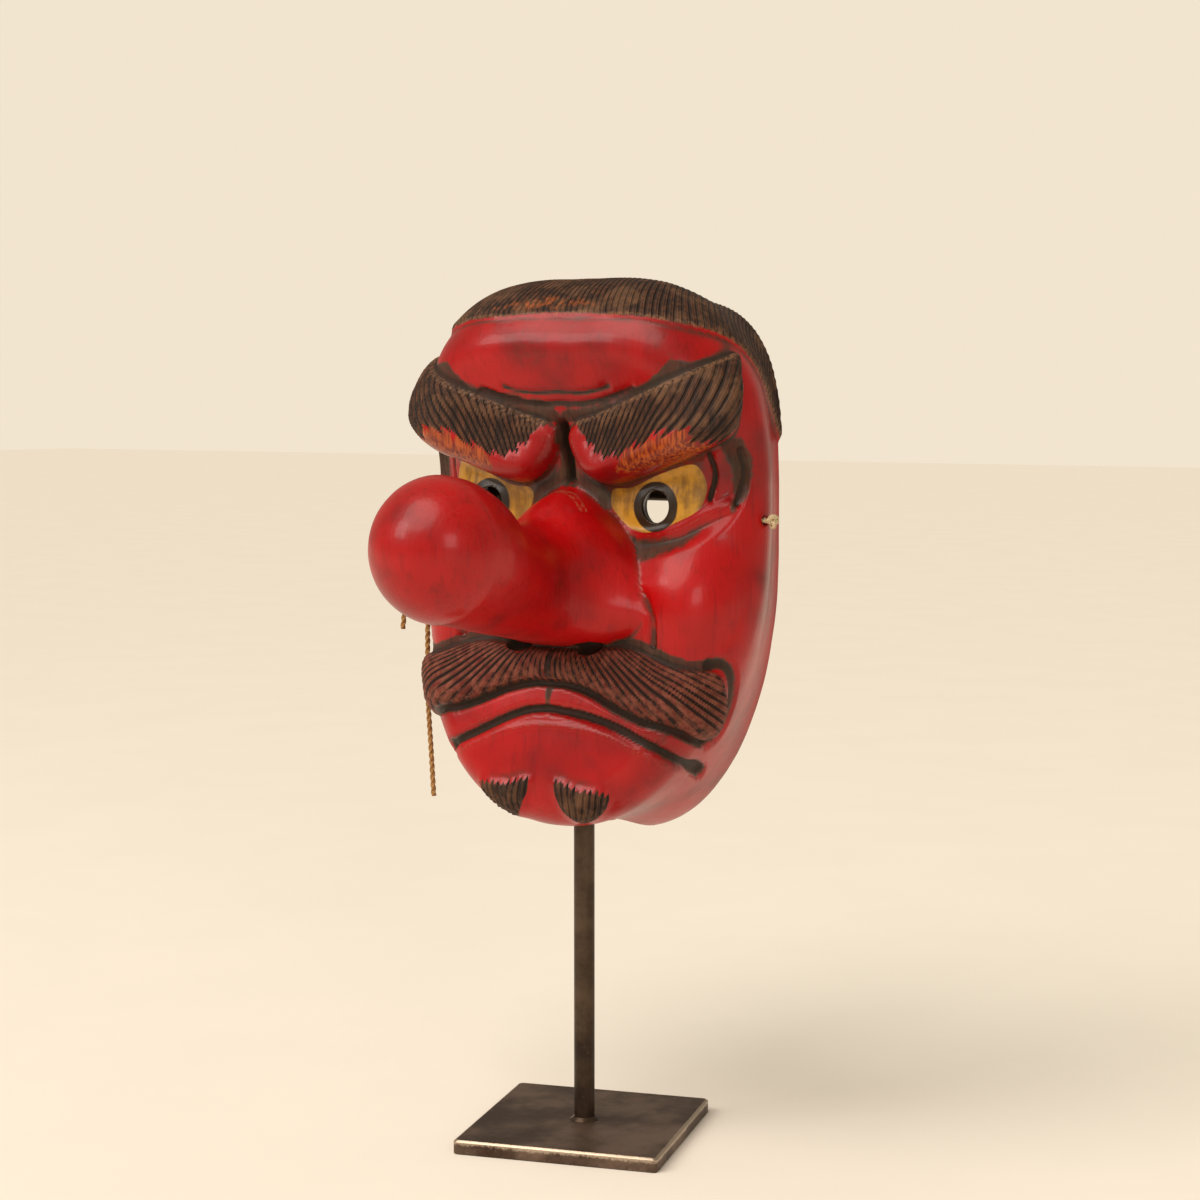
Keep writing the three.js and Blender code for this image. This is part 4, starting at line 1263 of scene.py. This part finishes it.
        dull = (hair + 0.3).larger(tache).larger(grime).between(0.0, 1.0).larger(bare)
        rough = 0.29 + patch * 0.12 + fine * 0.06 + dull * 0.22
        growth = (hair + 0.3).larger(tache).between(0.0, 1.0)
        relief = grain * 0.35 + fine * 0.25 + streak * 0.4
        relief = relief - lock.between(0.6, 1.0) * growth * 2.2 + sub * growth * 0.6
        normal = g.bump(relief, 0.00022)
        return g.shade({"Coat Roughness": 0.15, "Specular IOR Level": 0.24}, {
            "Base Color": colour, "Roughness": rough, "Coat Weight": (1 - dull) * 0.22,
            "Normal": normal})


@dataclass(frozen=True)
class Hemp:
    """Twisted hemp, from pale cream to golden tan."""

    name: str
    pale: Triple
    dark: Triple

    def build(self) -> bpy.types.Material:
        """Makes the finish."""
        g = Finish(self.name)
        fibre = g.noise(2600, 4, 0.7)
        patch = g.noise(260, 3)
        colour = g.blend(fibre.between(0.35, 0.65), self.pale, self.dark)
        colour = g.blend(patch.between(0.55, 0.7) * 0.5, colour, self.dark)
        return g.shade({"Specular IOR Level": 0.2}, {
            "Base Color": colour, "Roughness": 0.8 + fibre * 0.15,
            "Normal": g.bump(fibre, 0.00025)})


@dataclass(frozen=True)
class BrownSteel:
    """Brown patinated steel, mottled, and bright where its edges are worn and at a painted highlight
    spot.
    """

    name: str
    dark: Triple
    light: Triple
    bright: Triple = srgb(196, 178, 158)
    grain: Triple = (300, 300, 300)
    rough: float = 0.36

    def build(self) -> bpy.types.Material:
        """Makes the finish.

        Returns:
            The material, with worn edges and a painted highlight spot where the mesh says so.
        """
        g = Finish(self.name)
        cloud = g.noise(42, 4, 0.6)
        speck = g.noise(750, 4, 0.7)
        brush = g.noise(1.0, 3, 0.6, g.stretched(self.grain))
        worn = g.add("ShaderNodeAttribute", {"attribute_name": "worn"}, result="Fac")
        colour = g.blend(cloud.between(0.35, 0.68), self.dark, self.light)
        colour = g.blend(speck.between(0.56, 0.7) * 0.45, colour, self.light)
        colour = g.blend(speck.between(0.42, 0.3) * 0.5, colour, self.dark)
        # Bright where the worn value is high: worn edges on the plate, a painted highlight spot on
        # the rod.
        rub_and_glint = (worn + (speck - 0.5) * 0.9 + (cloud - 0.5) * 0.5).between(0.4, 0.75)
        colour = g.blend(rub_and_glint * 0.85, colour, self.bright)
        rough = self.rough + speck * 0.16 + cloud * 0.1 - rub_and_glint * 0.12
        return g.shade({"Specular IOR Level": 0.5}, {
            "Base Color": colour, "Roughness": rough, "Metallic": 0.78 + rub_and_glint * 0.2,
            "Normal": g.bump(speck * 0.5 + brush * 0.5, 0.00012)})


@dataclass(frozen=True)
class Ground:
    """Plain pale floor."""

    tone: Triple = srgb(250, 243, 231)

    def build(self) -> bpy.types.Material:
        """Makes the finish."""
        g = Finish("floor_pale")
        grain = g.noise(12, 3)
        darker = tuple(0.93 * c for c in self.tone)
        colour = g.blend(grain.between(0.3, 0.7) * 0.25, self.tone, darker)
        return g.shade({"Specular IOR Level": 0.2},
                       {"Base Color": colour, "Roughness": 0.8 + grain * 0.1})


def smooth_route(route: Route, gap: float) -> Array:
    """Points at even gaps on a smooth curve through a route.

    Args:
        route: the route's points.
        gap: distance between the new points.
    Returns:
        The points, one row each.
    """
    line = np.array(rounded(route, False, 40))
    run = np.concatenate([[0], np.cumsum(np.linalg.norm(np.diff(line, axis=0), axis=1))])
    at = np.linspace(0, run[-1], max(4, round(run[-1] / gap)) + 1)
    return np.stack([np.interp(at, run, line[:, k]) for k in range(3)], -1)


def route_length(points: Array) -> float:
    """Length of a line of points."""
    return float(np.linalg.norm(np.diff(points, axis=0), axis=1).sum())


@dataclass
class RopeMaker:
    """Geometry Nodes tree that lays three twisted plies along a curve."""

    radius: float = 1.1 * MM
    lay_length: float = 9.0 * MM
    lobe: float = 0.17
    plies: int = 3
    around: int = 24

    def sizes(self) -> dict[str, float]:
        """The tree's own inputs."""
        return {"Ply spread": self.radius, "Lay length": self.lay_length, "Lobe": self.lobe}

    def make_tree(self, material: bpy.types.Material) -> bpy.types.NodeTree:
        """Builds the tree.

        Args:
            material: finish of the rope.
        Returns:
            A tree with named inputs for its sizes.
        """
        tree = bpy.data.node_groups.new("rope_" + material.name, "GeometryNodeTree")
        face = tree.interface
        face.new_socket("Geometry", in_out="INPUT", socket_type="NodeSocketGeometry")
        for name, value in self.sizes().items():
            socket = face.new_socket(name, in_out="INPUT", socket_type="NodeSocketFloat")
            socket.default_value = value
        face.new_socket("Geometry", in_out="OUTPUT", socket_type="NodeSocketGeometry")

        g = Graph(tree)
        line, spread, lay, lobe = (
            g.add("NodeGroupInput", result=name) for name in ("Geometry", *self.sizes()))
        turn = g.add("GeometryNodeSplineParameter", result="Length") / lay * FULL_TURN
        tilted = g.add("GeometryNodeSetCurveTilt", None, {"Curve": line, "Tilt": turn})
        circle = g.add("GeometryNodeCurvePrimitiveCircle", {"mode": "RADIUS"},
                       {"Resolution": self.around, "Radius": spread}, "Curve")
        phase = g.add("GeometryNodeInputIndex") * (FULL_TURN * self.plies / self.around)
        swell = phase.cosine() * lobe + (1.0 - self.lobe)
        scaled = g.add("ShaderNodeVectorMath", {"operation": "SCALE"},
                       {0: g.add("GeometryNodeInputPosition"), "Scale": swell})
        lobed = g.add("GeometryNodeSetPosition", None, {"Geometry": circle, "Position": scaled})
        body = g.add("GeometryNodeCurveToMesh", None,
                     {0: tilted, "Profile Curve": lobed, "Fill Caps": True})
        soft = g.add("GeometryNodeSetShadeSmooth", None, {"Geometry": body})
        real = g.add("GeometryNodeRealizeInstances", None, {"Geometry": soft})
        dressed = g.add("GeometryNodeSetMaterial", None, {"Geometry": real, "Material": material})
        g.add("NodeGroupOutput", None, {0: dressed})
        return tree

    def lay(self, name: str, route: Array, material: bpy.types.Material,
            spread: float | None = None) -> bpy.types.Object:
        """Lays a rope along a route.

        Args:
            name: the piece's name.
            route: middle points in metres.
            material: its finish.
            spread: radius of the plies, the maker's own by default.
        Returns:
            A plain mesh object.
        """
        curve = bpy.data.curves.new(name, "CURVE")
        curve.dimensions = "3D"
        spline = curve.splines.new("POLY")
        spline.points.add(len(route) - 1)
        points = np.concatenate([route, np.ones((len(route), 1))], 1)
        spline.points.foreach_set("co", points.ravel())
        source = linked(name + "_line", curve)
        modifier = source.modifiers.new("rope", "NODES")
        modifier.node_group = self.make_tree(material)
        wanted = {**self.sizes(), "Ply spread": spread or self.radius}
        for item in modifier.node_group.interface.items_tree:
            if item.item_type == "SOCKET" and item.in_out == "INPUT" and item.name in wanted:
                modifier[item.identifier] = wanted[item.name]
        rope = settled(name, source)
        bpy.data.objects.remove(source)
        return rope


@dataclass
class TieCord:
    """The hemp cord across the hollow, its two knots and its two loose ends."""

    diameter: float = 2.2
    knot_at: Triple = (76.3, 10.5, 125.0)
    knot_size: float = 6.4
    knot_cord: float = 1.0
    near_tight: float = 1.0
    across: Line = field(default_factory=lambda: [
        [72.7, 10.5, 125], [66, 10.5, 125], [60, 11.5, 124.7], [50, 15.2, 122.8], [36, 19.6, 120.2],
        [20, 22.4, 117.8], [7, 23, 117], [-7, 23, 117], [-20, 22.4, 117.8], [-36, 19.6, 120.2],
        [-50, 15.2, 122.8], [-60, 11.5, 124.7], [-66, 10.5, 125], [-72.7, 10.5, 125]])
    long_end: Line = field(default_factory=lambda: [
        [-77.0, 10.8, 123.6], [-78.2, 11, 121.2], [-79.3, 11, 115], [-80.3, 11, 105],
        [-80.8, 10.8, 91], [-81, 10.6, 75], [-81, 10.5, 60], [-80.8, 10.5, 46],
        [-79.6, 10.5, 28], [-78.4, 10.5, 9]])
    short_end: Line = field(default_factory=lambda: [
        [-78.0, 10.3, 124.4], [-80.2, 10, 123.6], [-83.8, 9.6, 121], [-87.2, 9.3, 114],
        [-89.4, 9, 104], [-90.6, 9, 94], [-91.2, 9, 85], [-92.2, 9, 76.5]])

    def place(self, route: Route) -> Array:
        """Drawn millimetres to metres in the frame."""
        return (np.array(route, float) + np.array([0, 0, MASK_BOTTOM])) * MM

    def knot(self, side: int) -> Array:
        """Middle line of a tight overhand knot lying against the mask's side."""
        t = np.linspace(0, FULL_TURN, 90, endpoint=False)[:-3]
        reach = self.knot_size / 2 - 1.0
        x = 0.42 * np.sin(3 * t)
        y = (np.sin(t) + 2 * np.sin(2 * t)) / 3
        z = (np.cos(t) - 2 * np.cos(2 * t)) / 3
        centre = np.array([side * self.knot_at[0], self.knot_at[1], self.knot_at[2]])
        centre[0] -= max(side, 0) * self.near_tight
        return centre + np.stack([x * reach, y * reach, z * reach * 1.05], -1)

    def build(self) -> None:
        cream = Hemp("hemp_pale", srgb(232, 214, 176), srgb(176, 146, 104)).build()
        # The far knot and the loose ends take a darker tan copy of the hemp: partly a browner cord,
        # partly painted shade on the far side.
        tan = Hemp("hemp_tan", srgb(196, 150, 92), srgb(122, 82, 46)).build()
        maker = RopeMaker()
        knots = []
        for side, word in ((1, "near"), (-1, "far")):
            hemp = cream if side > 0 else tan
            knot = maker.lay(f"knot_{word}", self.place(self.knot(side)), hemp, self.knot_cord * MM)
            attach(knot, "root")
            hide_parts(f"tie_knot_{word}")
            knots.append(knot)
        runs = (("cord_across", self.across, "tie_cord", "knot", knots),
                ("cord_tail_long", self.long_end, "tie_end_long", "bare", []),
                ("cord_tail_short", self.short_end, "tie_end_short", "bare", []))
        for name, route, node, far_end, others in runs:
            line = self.place(smooth_route(route, 0.7))
            cord = maker.lay(name, line, cream if node == "tie_cord" else tan)
            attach(cord, "root")
            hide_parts(node)
            faces = len(cord.data.polygons)
            LOG.info("%s: %.1f mm of cord, %d faces", name, route_length(line) / MM, faces)


@dataclass
class Stand:
    """Square foot plate and the rod that rises from it into the mask's hollow."""

    side: float = 80.0
    thick: float = 5.5
    chamfer: float = 0.7
    corner: float = 1.6
    turn_deg: float = 15.0
    rod: float = 8.0
    set_back: float = 12.0
    bar: float = 7.0
    bar_length: float = 100.0
    bar_z: float = 134.7
    stop: float = 5.0
    stop_share: float = 0.16
    mask_height: float = 214.0
    crank_shares: tuple[float, float] = (0.26, 0.4)

    def plate(self) -> bpy.types.Object:
        """Makes the plate with worn upper edges."""
        r, half, per_corner, per_side = self.corner, self.side / 2, 5, 14
        outline = []
        for k in range(4):
            a0 = k * math.pi / 2
            cx, cy = ((half - r) * s for s in ((1, -1), (1, 1), (-1, 1), (-1, -1))[k])
            arc = [(cx + r * math.cos(a0 + a), cy + r * math.sin(a0 + a))
                   for a in np.linspace(-math.pi / 2, 0, per_corner)]
            outline += arc
            nx, ny = ((half - r) * s for s in ((1, 1), (-1, 1), (-1, -1), (1, -1))[k])
            nxt = (nx + r * math.cos(a0), ny + r * math.sin(a0))
            last = arc[-1]
            outline += [(mix(last[0], nxt[0], t), mix(last[1], nxt[1], t))
                        for t in np.arange(1, per_side) / per_side]
        base = np.array(outline)
        c = self.chamfer
        top = self.thick
        levels = [(30, 0, 0.0), (0.4, 0, 0.2), (0, 0.4, 0.35), (0, top * 0.5, 0.25),
                  (0, top - c, 0.8), (c * 0.5, top - c * 0.42, 1.0), (c, top, 0.75),
                  (c + 0.7, top, 0.2), (5, top, 0.05)]
        levels += [(inset, top, 0.0) for inset in (14, 24, 34)]
        points, worn = [], []
        for inset, z, wear in levels:
            ring = base * (half - inset) / half
            points.append(np.column_stack([ring, np.full(len(ring), z)]))
            worn.append(np.full(len(ring), wear))
        turn = math.radians(self.turn_deg)
        xyz = np.concatenate(points)
        spun = np.column_stack([xyz[:, 0] * math.cos(turn) - xyz[:, 1] * math.sin(turn),
                                xyz[:, 0] * math.sin(turn) + xyz[:, 1] * math.cos(turn), xyz[:, 2]])
        plate = mesh_object("foot_plate", spun * MM, tube_faces(len(base), len(levels)))
        set_trait(plate.data, "worn", np.concatenate(worn))
        plate.data.shade_smooth()
        plate.data.set_sharp_from_angle(angle=math.radians(20))
        return plate

    def cradle(self) -> bpy.types.Object:
        """Makes the rod with its crank, crossbar, chin stop and weld, and a painted highlight spot by
        the weld.
        """
        low, high = (Vector(c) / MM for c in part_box("stand_post"))
        bottom = self.thick
        low_bend, high_bend = (MASK_BOTTOM + share * self.mask_height
                               for share in self.crank_shares)
        t = np.linspace(0, 1, 26)
        heights = [mix(low_bend, high_bend, share) for share in (0, 0.4, 0.6, 1)]
        backs = (0.0, 0.0, self.set_back, self.set_back)
        shares = ((1 - t) ** 3, 3 * t * (1 - t) ** 2, 3 * t * t * (1 - t), t**3)
        curve = [sum(w * p for w, p in zip(shares, part)) for part in (backs, heights)]
        y = np.concatenate([np.zeros(12), curve[0], np.full(8, self.set_back)])
        z = np.concatenate([np.linspace(bottom - 0.3, low_bend, 12, endpoint=False), curve[1],
                            np.linspace(high_bend, high.z, 9)[1:]])
        route = np.column_stack([0 * y, y, z])
        radii = np.full(len(route), self.rod / 2)
        radii[-1] -= 0.6
        route[-2, 2] = high.z - 0.6
        post = mesh_object("post", *swept(route, radii, 48))
        half = self.bar_length / 2
        bar_z = MASK_BOTTOM + self.bar_z
        bar_ends = ((end, self.set_back, bar_z) for end in (-half, half))
        bar = mesh_object("bar", *rod(*bar_ends, self.bar / 2))
        stop_z = MASK_BOTTOM + self.stop_share * self.mask_height
        stop = mesh_object("stop", *rod((0, low.y, stop_z), (0, 1.0, stop_z), self.stop / 2, 36))
        around = 72
        angle = np.arange(around) / around * FULL_TURN
        lump = 1 + 0.1 * np.sin(5 * angle) + 0.08 * np.sin(11 * angle + 1)
        rings = [(-1.0, -0.3), (1.5, -0.3), (1.5, 0.1), (0.9, 0.7), (0.2, 1.4), (-1.0, 1.5)]
        weld_points = np.concatenate([
            np.column_stack([(self.rod / 2 + out * lump) * np.cos(angle),
                             (self.rod / 2 + out * lump) * np.sin(angle),
                             np.full(around, bottom + up)]) for out, up in rings])
        weld = mesh_object("weld", weld_points, tube_faces(around, len(rings)))
        cradle = joined("rod_cradle", post, [(bar, "UNION"), (stop, "UNION"), (weld, "UNION")])
        points = corners_of(cradle.data)
        # A bright spot near the rod's foot by the weld: a painted highlight, kept in the worn value
        # that the steel finish brightens.
        foot = np.array([-3.9, -2.2, bottom + 0.8])
        glint = 0.9 * ease(1.2 - np.linalg.norm(points - foot, axis=1) / 2.4)
        set_trait(cradle.data, "worn", glint)
        move_corners(cradle.data, points * MM)
        cradle.data.shade_smooth()
        cradle.data.set_sharp_from_angle(angle=math.radians(35))
        return cradle

    def build(self) -> None:
        """Makes and dresses both pieces, hangs them on the root body and hides the imported parts."""
        plate_steel = BrownSteel("plate_steel", srgb(70, 52, 42), srgb(122, 102, 88),
                                 grain=(60, 900, 900))
        post_steel = BrownSteel("post_steel", srgb(50, 38, 30), srgb(92, 74, 58),
                                grain=(700, 700, 40), rough=0.32)
        for thing, node, slot, steel in (
                (self.plate(), "stand_plate", Slot.PLATE, plate_steel),
                (self.cradle(), "stand_post", Slot.POST, post_steel)):
            thing.data.materials.clear()
            thing.data.materials.append(steel.build())
            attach(thing, "root")
            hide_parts(node)
            LOG.info("%s: %d faces", thing.name, len(thing.data.polygons))


@dataclass
class Studio:
    """Pale floor, soft lights and the camera at the photograph's angle."""

    eye: Triple = (0.4822, -0.7753, 0.2880)
    ahead: Triple = (-0.5205, 0.8494, -0.0872)
    lens: float = 72.0
    sensor: float = 36.0
    clip: tuple[float, float] = (0.02, 60.0)
    floor_reach: float = 8.0
    air: Triple = srgb(250, 236, 214)
    ambient: float = 0.4
    backdrop: float = 0.93
    target: Triple = (0.0, -0.02, 0.23)
    key_size: float = 0.55
    fill_size: float = 0.6
    sky_way: Triple = (0.25, 0.75, -1.0)
    sky_deg: float = 50.0

    def camera(self) -> None:
        """Sets up the camera."""
        data = bpy.data.cameras.new("camera")
        data.lens, data.sensor_width = self.lens, self.sensor
        data.clip_start, data.clip_end = self.clip
        camera = linked("camera", data)
        ahead = Vector(self.ahead).normalized()
        right = ahead.cross(Vector((0, 0, 1))).normalized()
        up = right.cross(ahead)
        turned = Matrix((right, up, -ahead)).transposed().to_4x4()
        camera.matrix_world = Matrix.Translation(self.eye) @ turned
        bpy.context.scene.camera = camera

    def lamp(self, kind: str, name: str, at: Triple, towards: Triple, power: float,
             colour: Triple) -> bpy.types.Light:
        """Adds a soft light.

        Args:
            kind: AREA or SUN.
            name: its name.
            at: where it stands.
            towards: what it looks at.
            power: watts, or watts a square metre of a SUN.
            colour: its tint.
        Returns:
            The light, for its size.
        """
        data = bpy.data.lights.new(name, kind)
        data.energy, data.color = power, colour
        lamp = linked(name, data)
        lamp.location = at
        lamp.rotation_euler = (Vector(towards) - Vector(at)).to_track_quat("-Z", "Y").to_euler()
        return data

    def build(self) -> None:
        """Makes the floor, lights and surroundings."""
        reach = self.floor_reach
        corners = reach * np.array([(-1, -1, 0), (1, -1, 0), (1, 1, 0), (-1, 1, 0)])
        floor = mesh_object("floor", corners, [(0, 1, 2, 3)])
        floor.data.materials.append(Ground().build())
        world = bpy.data.worlds.new("studio")
        world.use_nodes = True
        tree = world.node_tree
        back = tree.nodes["Background"]
        back.inputs["Color"].default_value = (*self.air, 1.0)
        ray = tree.nodes.new("ShaderNodeLightPath")
        level = tree.nodes.new("ShaderNodeMapRange")
        level.inputs["To Min"].default_value = self.ambient
        level.inputs["To Max"].default_value = self.backdrop
        tree.links.new(ray.outputs["Is Camera Ray"], level.inputs["Value"])
        tree.links.new(level.outputs["Result"], back.inputs["Strength"])
        bpy.context.scene.world = world
        key = self.lamp("AREA", "key", (-0.95, -1.3, 0.95), self.target, 6, (1.0, 0.96, 0.91))
        fill = self.lamp("AREA", "fill", (1.3, -1.3, 0.75), self.target, 5, (1.0, 0.97, 0.93))
        key.size, fill.size = self.key_size, self.fill_size
        sky = self.lamp("SUN", "sky", (0, 0, 0), self.sky_way, 2.2, (1.0, 0.93, 0.84))
        sky.angle = math.radians(self.sky_deg)
        bpy.context.scene.view_settings.view_transform = "Standard"


def main() -> None:
    """Builds the studio, the cords, the mask and the stand, and reports each."""
    logging.basicConfig(level=logging.INFO, format="%(name)s: %(message)s")
    studio = Studio()
    studio.camera()
    TieCord().build()
    mask = Mask().build()
    mask.data.materials.clear()
    mask.data.materials.append(PaintedWood().build())
    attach(mask, "root")
    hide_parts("mask")
    triangles = sum(len(p.vertices) - 2 for p in mask.data.polygons)
    LOG.info("%s: %d triangles", mask.name, triangles)
    Stand().build()
    studio.build()


if __name__ == "__main__":
    main()
